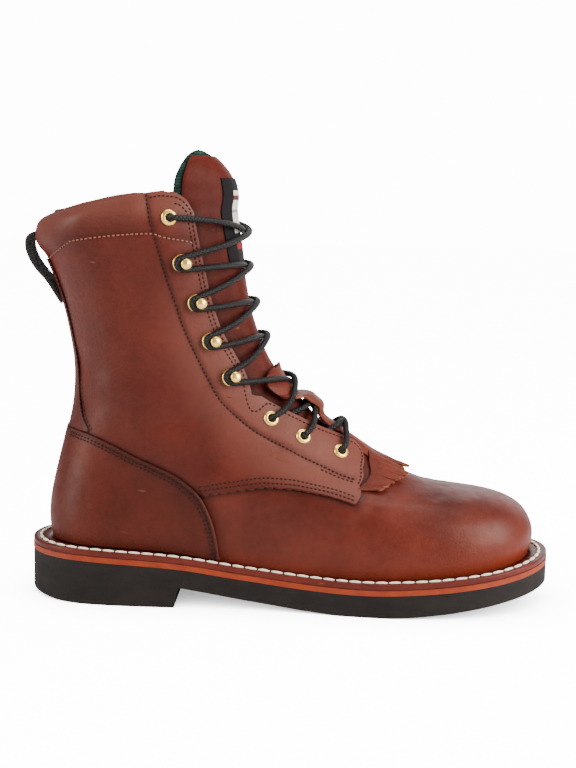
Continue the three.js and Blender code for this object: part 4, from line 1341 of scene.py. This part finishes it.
# %% [markdown]
# Eyelets and hooks are turned shapes: a profile of radii and heights is spun round its axis. Each
# stands on the leather with its own axis along the leather's normal, and a hook's head leans
# forward, to keep the lace on its neck. The profiles are in millimetres.
# %% Eyelets and hooks
eyelet_places = [(8.42, 0.801), (9.04, 0.741), (9.81, 0.705), (17.46, 0.622)]
hook_lean = 1.5 * mm
hook_places = [(11.48, 0.679), (12.76, 0.666), (13.98, 0.652), (15.37, 0.631)]
eyelet_profile = np.array([
    (2.2, -3), (2.2, 0.9), (2.35, 1.25), (2.7, 1.5), (3.2, 1.55), (3.9, 1.3), (4.4, 0.85),
    (4.6, 0.35), (4.6, 0.0), (2.8, 0.0), (2.7, -3),
]) * mm
hook_profile = np.array([
    (0, 0.1), (5.1, 0.1), (5.15, 0.5), (4.9, 0.9), (4.4, 1.15), (3.5, 1.25), (2.6, 1.15), (1.6, 1.3),
    (1.4, 2.0), (1.4, 4.6), (1.6, 5.2), (2.6, 5.5), (3.1, 5.9), (3.2, 6.4), (2.8, 7.0),
    (2.0, 7.5), (1.0, 7.8), (0, 7.9),
]) * mm


def on_side(around, inner):
    return 2 - around if inner else around


def standing(section, around, inner):
    """Where a piece stands on the quarter: its place, and its forward, upward and outward ways."""
    at = on_side(around, inner)
    ahead = skin(section, at + (-0.004 if inner else 0.004))[0] - skin(section, at)[0]
    out = outwards(np.array([section]), np.array([at]))[0]
    ahead = ahead / np.linalg.norm(ahead)
    climb = np.cross(out, ahead) * (-1 if inner else 1)
    place = skin(section, at, float(quarter_raised(section, at)))[0]
    return place, ahead, climb, out


def turned(profile, place, ahead, climb, out, closed, lean=0.0, facets=32):
    """A profile spun round the outward axis; lean moves its top forward."""
    corners = len(profile)
    spans = corners if closed else corners - 1
    top = profile[:, 1].max()

    def spin(u, v):
        corner = np.rint(v * spans).astype(int) % corners
        radius, height = profile[corner, 0][:, None], profile[corner, 1][:, None]
        angle = (u * 2 * math.pi)[:, None]
        shift = lean * ease(0.35 * top, 0.8 * top, height)
        flat = ahead * (np.cos(angle) * radius + shift) + climb * np.sin(angle) * radius
        return place + flat + out * height

    bm = flat_grid(facets, spans, spin)
    bmesh.ops.remove_doubles(bm, verts=bm.verts, dist=0.005 * mm)
    bmesh.ops.recalc_face_normals(bm, faces=bm.faces)
    return bm


for inner, name in ((False, "outer"), (True, "inner")):
    for i, (section, around) in enumerate(eyelet_places):
        eyelet = turned(eyelet_profile, *standing(section, around, inner), True)
        solid = f"eyelet_{name}_{i + 1}"
        make_piece(eyelet, solid, [brass], [solid])
    for i, (section, around) in enumerate(hook_places):
        hook = turned(hook_profile, *standing(section, around, inner), False, hook_lean)
        solid = f"hook_{name}_{i + 1}"
        make_piece(hook, solid, [brass], [solid])

# %% [markdown]
# One braided lace threads the whole boot. Its two strands start from a hidden bar behind the
# lowest eyelets and change sides at every crossing. A strand comes out through an eyelet, or goes
# round a hook from below, and one strand lies on the other where they meet on the centre line.
# %% Stops and crossings
lace_radius = lace_diameter / 2
over_metal, over_hook, over_leather = 5.2 * mm, 4.9 * mm, 0.6 * mm
hook_reach = 3.5 * mm
lower_eyelets = 3
lace_stops = eyelet_places[:lower_eyelets] + hook_places + eyelet_places[lower_eyelets:]
hook_stops = range(lower_eyelets, lower_eyelets + len(hook_places))
top_stop = len(lace_stops) - 1

# Each crossing holds its middle section and its height there, in lace diameters
crossings = [
    (9.22, 1.44), (10.18, 0.83), (11.1, 1.15), (12.7, 0.89), (13.8, 0.81), (15.0, 0.75),
    (16.36, 1.22),
]


def spacing(section, around, nudge):
    """Metres for each whole section near a place."""
    step = bare(section + nudge, around) - bare(section - nudge, around)
    return np.linalg.norm(step, axis=1) / (2 * nudge)


def strand_end(stop, leaving):
    """Section, round and height where a crossing leaves or reaches a stop, on the outer side."""
    section, around = lace_stops[stop]
    if stop in hook_stops:
        reach = hook_reach / spacing(np.array([section]), np.array([around]), 0.5)[0]
        return section + (reach if leaving else -reach), around, over_hook
    if leaving or stop == top_stop:
        return section, around, over_metal
    under = section + 0.25
    return under, 1 - 0.95 * float(throat_half(under)), -1.6 * mm


print("stops on each side:", len(lace_stops), "and crossings:", len(crossings))

# %% [markdown]
# A crossing runs from one side to the other over the tongue. It has to clear the facing's edge
# wherever it passes above it, and in the middle one strand rises by a radius and the other sinks
# by one. A strand that reaches a lower eyelet from behind dives under the facing instead.
# %% A crossing's line
def crossing_line(stop, inner, sign):
    """A crossing from a stop on one side to the next stop up on the other."""
    middle, over = crossings[stop]
    start, end = strand_end(stop, True), strand_end(stop + 1, False)
    share = np.linspace(0, 1, 33)
    over_edge = quarter_leather + lace_radius + over_leather
    height = over * lace_diameter
    section = curve_through([0, 0.5, 1], [start[0], middle, end[0]], share)
    around = mix(on_side(start[1], inner), on_side(end[1], not inner), share)
    tucked = end[2] < 0
    near_end = height if tucked else max(height, over_edge)
    raised = curve_through(
        [0, 0.2, 0.5, 0.8, 1], [start[2], max(height, over_edge), height, near_end, end[2]], share,
    )
    raised = raised + sign * 0.95 * lace_radius * np.exp(-((share - 0.5) / 0.13) ** 2)
    return skin(section, around, raised)


first_crossing = crossing_line(0, False, 1)
print("lowest crossing spans", round(float(np.ptp(first_crossing[:, 1])) / mm), "mm")

# %% [markdown]
# At its metal the lace follows short routes of its own, given from the metal's middle by steps
# forward and out: up through an eyelet, round a hook's neck, or down through the top eyelet.
# %% Through the metal
def through_eyelet(stop, inner):
    """From behind the facing up through an eyelet."""
    place, ahead, _, out = standing(*lace_stops[stop], inner)
    return np.array([
        place - out * 6.5 * mm + ahead * 3 * mm, place - out * 5.5 * mm + ahead * 0.8 * mm,
        place - out * 3 * mm, place + out * 0.5 * mm, place + out * 2.6 * mm + ahead * 0.3 * mm,
    ])


def round_hook(stop, inner):
    """From below a hook's neck, behind it, and out above it."""
    place, ahead, climb, out = standing(*lace_stops[stop], inner)
    angles = np.radians(np.linspace(-75, -285, 9))[:, None]
    return place + hook_reach * (np.cos(angles) * ahead + np.sin(angles) * climb) + out * 3.2 * mm


def into_eyelet(stop, inner):
    """Down through the top eyelet, to an end behind the facing."""
    place, ahead, _, out = standing(*lace_stops[stop], inner)
    return np.array([
        place + out * 2.4 * mm + ahead * 0.4 * mm, place + out * 0.4 * mm, place - out * 3.5 * mm,
        place - out * 6 * mm + ahead * 1.5 * mm, place - out * 6.5 * mm + ahead * 5 * mm,
    ])


way_round = np.linalg.norm(np.diff(round_hook(hook_stops[0], False), axis=0), axis=1).sum()
print("a strand goes", round(float(way_round) / mm, 1), "mm round a hook")

# %% [markdown]
# A strand is its crossings and its routes through the metal, one after another. The crossings'
# ends are dropped where an eyelet's route takes over, and the two strands, joined at the bottom,
# are walked over in even steps and rounded at the corners.
# %% The whole lace's line
def strand(inner, sign):
    """One half of the lace, from its lowest eyelet to its top one."""
    parts = [through_eyelet(0, inner)]
    for stop in range(top_stop):
        dropped_first = 1 if stop in hook_stops else 3
        dropped_last = 3 if stop + 1 == top_stop else 1
        parts.append(crossing_line(stop, inner, sign)[dropped_first:-dropped_last])
        inner = not inner
        sign = -sign
        if stop + 1 == top_stop:
            parts.append(into_eyelet(top_stop, inner))
        elif stop + 1 in hook_stops:
            parts.append(round_hook(stop + 1, inner))
        else:
            parts.append(through_eyelet(stop + 1, inner))
    return np.concatenate(parts)


def evened(points, step):
    """Points a step apart along a line, with its corners rounded."""
    run = np.concatenate([[0], np.cumsum(np.linalg.norm(np.diff(points, axis=0), axis=1))])
    stops = np.linspace(0, run[-1], round(run[-1] / step) + 1)
    line = np.stack([np.interp(stops, run, axis) for axis in points.T], axis=1)
    for _ in range(5):
        line[1:-1] = (line[:-2] + 2 * line[1:-1] + line[2:]) / 4
    return line


outer_half, inner_half = strand(False, 1), strand(True, -1)
lace_line = evened(np.concatenate([outer_half[::-1], inner_half]), 0.7 * mm)
lace_length = np.linalg.norm(np.diff(lace_line, axis=0), axis=1).sum()
print("lace is", round(lace_length / mm), "mm long")

# %% [markdown]
# The braid is two sets of plaits that wind round the lace in opposite ways. Each set is a slanted
# sine wave on the lace's own map, and wherever they cross the higher of the two is on top.
# %% Braid and lace
plaits_round, plait_length = 6, 2.2 * mm
braid, braid_surface = new_material("lace_braid")
braid_map = node(braid, "ShaderNodeUVMap", uv_map="braid").outputs["UV"]
braid_axes = node(braid, "ShaderNodeSeparateXYZ", {"Vector": braid_map})


def calc(operation, first, second):
    made = node(braid, "ShaderNodeMath", operation=operation)
    for socket, value in zip(made.inputs, (first, second)):
        if isinstance(value, bpy.types.NodeSocket):
            join(braid, value, socket)
        else:
            socket.default_value = value
    return made.outputs["Value"]


turns = calc("MULTIPLY", braid_axes.outputs["X"], plaits_round * 2 * math.pi)
lengths = calc("MULTIPLY", braid_axes.outputs["Y"], 2 * math.pi * lace_length / plait_length)
one_way = calc("SINE", calc("ADD", turns, lengths), 0.0)
other_way = calc("SINE", calc("SUBTRACT", turns, lengths), 0.0)
plaits = calc("MAXIMUM", one_way, other_way)
braid_colour = ramp(braid, plaits, [(0.1, from_hex("#040303")), (0.95, from_hex("#17110f"))])
join(braid, braid_colour, braid_surface.inputs["Base Color"])
join(braid, bump(braid, plaits, 0.00025, 0.7), braid_surface.inputs["Normal"])
finish(braid_surface, {"Roughness": 0.45, "Specular IOR Level": 0.25})
crossing_nodes = [f"lace_crossing_{i + 1}" for i in range(len(crossings))]
lace_grid = cord_grid(lace_line, lace_radius, uv="braid")
make_piece(lace_grid, "lace", [braid], crossing_nodes)

# %% [markdown]
# Rows of stitches hold the panels together and draw the boot's lines. A row follows a seam at a
# set distance from it. The distance is turned into steps of section and round, so that the row
# stays on the curved leather, and the inner side gets the same rows, mirrored.
# %% A row beside a seam
def beside(path, distance, side, raised):
    """A line along a seam, distance behind it: its points and its outward ways."""
    section, around, line = trace(path, 0.0, 0.8 * mm)
    up, ahead = 0.01, 0.002
    climb = (bare(section + up, around) - bare(section - up, around)) / (2 * up)
    forward = (bare(section, around + ahead) - bare(section, around - ahead)) / (2 * ahead)
    behind_line = -np.cross(outwards(section, around), unit(np.gradient(line, axis=0)))
    cc, ff, cf = (climb ** 2).sum(1), (forward ** 2).sum(1), (climb * forward).sum(1)
    cb, fb = (climb * behind_line).sum(1), (forward * behind_line).sum(1)
    spread = cc * ff - cf ** 2
    section = np.minimum(section + distance * (cb * ff - fb * cf) / spread, top_section)
    around = around + distance * (fb * cc - cb * cf) / spread
    if side < 0:
        around = 2 - around
    height = raised(section, around) if callable(raised) else raised
    points = skin(section, around, height)
    points[:, 2] += rim_lift(section, around)
    return points, outwards(section, around)


def on_quarter(section, around):
    return quarter_raised(section, around) + 0.05 * mm


def rows_of(*rows):
    return [beside(path, distance * mm, side, raised) for path, distance, raised in rows for side in sides]


print("points in a row beside the facing's seam:", len(beside(facing_seam, mm, 1, on_quarter)[0]))

# %% [markdown]
# The facing has two rows along the lacing edge and one along its seam, with a short second one at
# its foot. The lobe that holds the lower eyelets has a row of its own, which turns in at a notch,
# and the collar's top corner has a short curved row. The pale row is the one under the collar.
# %% Rows of stitches
dark_thread = thread("dark_thread", "#2b110d")
light_thread = thread("light_thread", "#8f5648")
small = (2.0 * mm, 1.1 * mm, 0.7 * mm)
close_pitch, wide_pitch = 2.5 * mm, 2.6 * mm
lobe_edge = throat_edge[13:23]
notch_row = [
    (11.2, 0.711), (10.75, 0.689), (10.35, 0.672), (10.13, 0.668), (10.15, 0.69), (10.33, 0.719),
    (10.42, 0.742), (10.3, 0.762),
]
facing_edge = throat_edge[1:10]
corner_row = [(18.55, 0.56), (18.6, 0.6), (18.45, 0.645)]
counter_raised, backstay_raised = 3.3 * mm, 2.9 * mm
front_rows = rows_of(
    (facing_edge, 2.0, on_quarter), (facing_edge, 4.2, on_quarter), (lobe_edge, 2.2, on_quarter),
    (notch_row, 0, on_quarter), (facing_seam, 0.6, on_quarter),
    (facing_seam[-3:], 2.8, on_quarter), (corner_row, 0, on_quarter),
)
sew("facing_stitches", front_rows, dark_thread, "upper_leather", close_pitch, *small)
lower_rows = rows_of((quarter_lower, -2.0, on_quarter), (quarter_lower, -4.6, on_quarter))
sew("lower_stitches", lower_rows, dark_thread, "upper_leather", close_pitch, *small)
counter_rows = rows_of(
    (counter_edge[1:], 2.0, counter_raised), (counter_edge[1:], 3.8, counter_raised),
)
sew("counter_stitches", counter_rows, dark_thread, "counter_leather", wide_pitch, *small)
light_rows = rows_of((collar_seam, 0.9, on_quarter))
sew("light_stitches", light_rows, light_thread, "upper_leather", wide_pitch, *small)
back_rows = rows_of((backstay_edge, -1.5, backstay_raised))
sew("backstay_stitches", back_rows, dark_thread, "upper_leather", wide_pitch, *small)

# %% [markdown]
# The quarters' lower edge is pinked: small scallops show from under it all along the vamp. They
# are cut into a narrow strip of leather, whose lower edge swings in and out as it goes along.
# %% Pinked edge
scallop_pitch, scallop_depth = 5.2 * mm, 1.7 * mm


def pinked(side):
    section, around, line = trace(quarter_lower, 0.0, 0.2 * mm)
    length = np.linalg.norm(np.diff(line, axis=0), axis=1).sum()
    scallops = round(length / scallop_pitch)

    def place(u, v):
        spot = u * (len(section) - 1)
        lobe = np.abs(np.sin(u * scallops * math.pi))
        low = np.interp(spot, np.arange(len(section)), section)
        at = np.interp(spot, np.arange(len(around)), around)
        depth = mix(-1.2 * mm, 0.4 * mm + scallop_depth * lobe, v)
        lower = low - depth / spacing(low, at, 0.25)
        return skin(lower, at if side > 0 else 2 - at, quarter_leather - 0.15 * mm)

    # The scallops grow darker towards their edge: a painted shadow line.
    bm = flat_grid(scallops * 8, 3, place, lambda u, v, points: {"dark": 0.3 * v})
    if side > 0:
        bmesh.ops.reverse_faces(bm, faces=bm.faces)
    return bm


for side, name in zip(sides, ("outer", "inner")):
    pinks = make_piece(pinked(side), f"pinked_edge_{name}", [upper_leather])
    thicken(pinks, 1.1 * mm)

# %% [markdown]
# The boot stands on a white studio floor. The floor glows to the camera alone, so that it runs
# into the white background, and its glow fades close to the boot, as a painted contact shadow.
# %% Floor
floor_glow_strength = 13
floor_material, floor_surface = new_material("white_floor")
finish(floor_surface, {
    "Base Color": grey(0.85), "Roughness": 0.7, "Emission Strength": floor_glow_strength,
})
near_boot = node(floor_material, "ShaderNodeAmbientOcclusion", {"Distance": 0.05}, samples=8)
# Painted contact shadow: less glow where the boot is near.
glow_with_contact_shadow = ramp(floor_material, near_boot.outputs["AO"], [(0.0, grey(0.02)), (0.9, grey(1))])
seen_floor = node(floor_material, "ShaderNodeLightPath").outputs["Is Camera Ray"]
floor_glow = blend_colours(floor_material, seen_floor, grey(0), glow_with_contact_shadow)
join(floor_material, floor_glow, floor_surface.inputs["Emission Color"])
floor_mesh = bpy.data.meshes.new("floor")
floor_bm = bmesh.new()
bmesh.ops.create_grid(floor_bm, x_segments=1, y_segments=1, size=6)
floor_bm.to_mesh(floor_mesh)
floor_bm.free()
floor_mesh.materials.append(floor_material)
floor = bpy.data.objects.new("floor", floor_mesh)
bpy.context.scene.collection.objects.link(floor)
print("floor is", round(2 * max(vert.co.x for vert in floor_mesh.vertices)), "m wide")

# %% [markdown]
# The background is white to the camera, but the light that it sheds on the boot is weak, because
# the lamps below model the boot and an even light from all round would flatten it.
# %% Background
world_light, world_seen = 0.24, 14.0
world = bpy.data.worlds.new("studio")
world.use_nodes = True
backdrop = world.node_tree.nodes["Background"]
backdrop.inputs["Color"].default_value = grey(1)
seen = world.node_tree.nodes.new("ShaderNodeLightPath").outputs["Is Camera Ray"]
glow = world.node_tree.nodes.new("ShaderNodeMix")
glow.inputs["A"].default_value, glow.inputs["B"].default_value = world_light, world_seen
world.node_tree.links.new(seen, glow.inputs["Factor"])
world.node_tree.links.new(glow.outputs["Result"], backdrop.inputs["Strength"])
bpy.context.scene.world = world
print("background sheds", world_light, "and shows", world_seen)

# %% [markdown]
# A wide soft light hangs overhead, a narrow one fills the heel from the left, and a square one
# rakes the toe and the lacing from the right, where leather shows its gloss. A broad weak one
# stands behind the boot and draws a pale rim along its top.
# %% Lights
def soft_light(name, place, target, width, height, power):
    data = bpy.data.lights.new(name, "AREA")
    data.shape, data.size, data.size_y, data.energy = "RECTANGLE", width, height, power
    light = bpy.data.objects.new(name, data)
    light.location = place
    direction = Vector(target) - Vector(place)
    light.rotation_euler = direction.to_track_quat("-Z", "Y").to_euler()
    light.visible_camera = False
    bpy.context.scene.collection.objects.link(light)
    print(name, power, "W")


soft_light("overhead", (0.1, 0.1, 1.3), (0.08, 0, 0.1), 1.0, 0.7, 12)
soft_light("left softbox", (-1.15, -0.5, 0.5), (0.0, 0, 0.12), 0.5, 1.0, 20)
soft_light("right softbox", (1.2, -0.55, 0.6), (0.12, 0, 0.1), 1.0, 1.0, 40)
soft_light("rim light", (0.5, 1.2, 0.5), (0.1, 0, 0.12), 1.6, 0.8, 8)
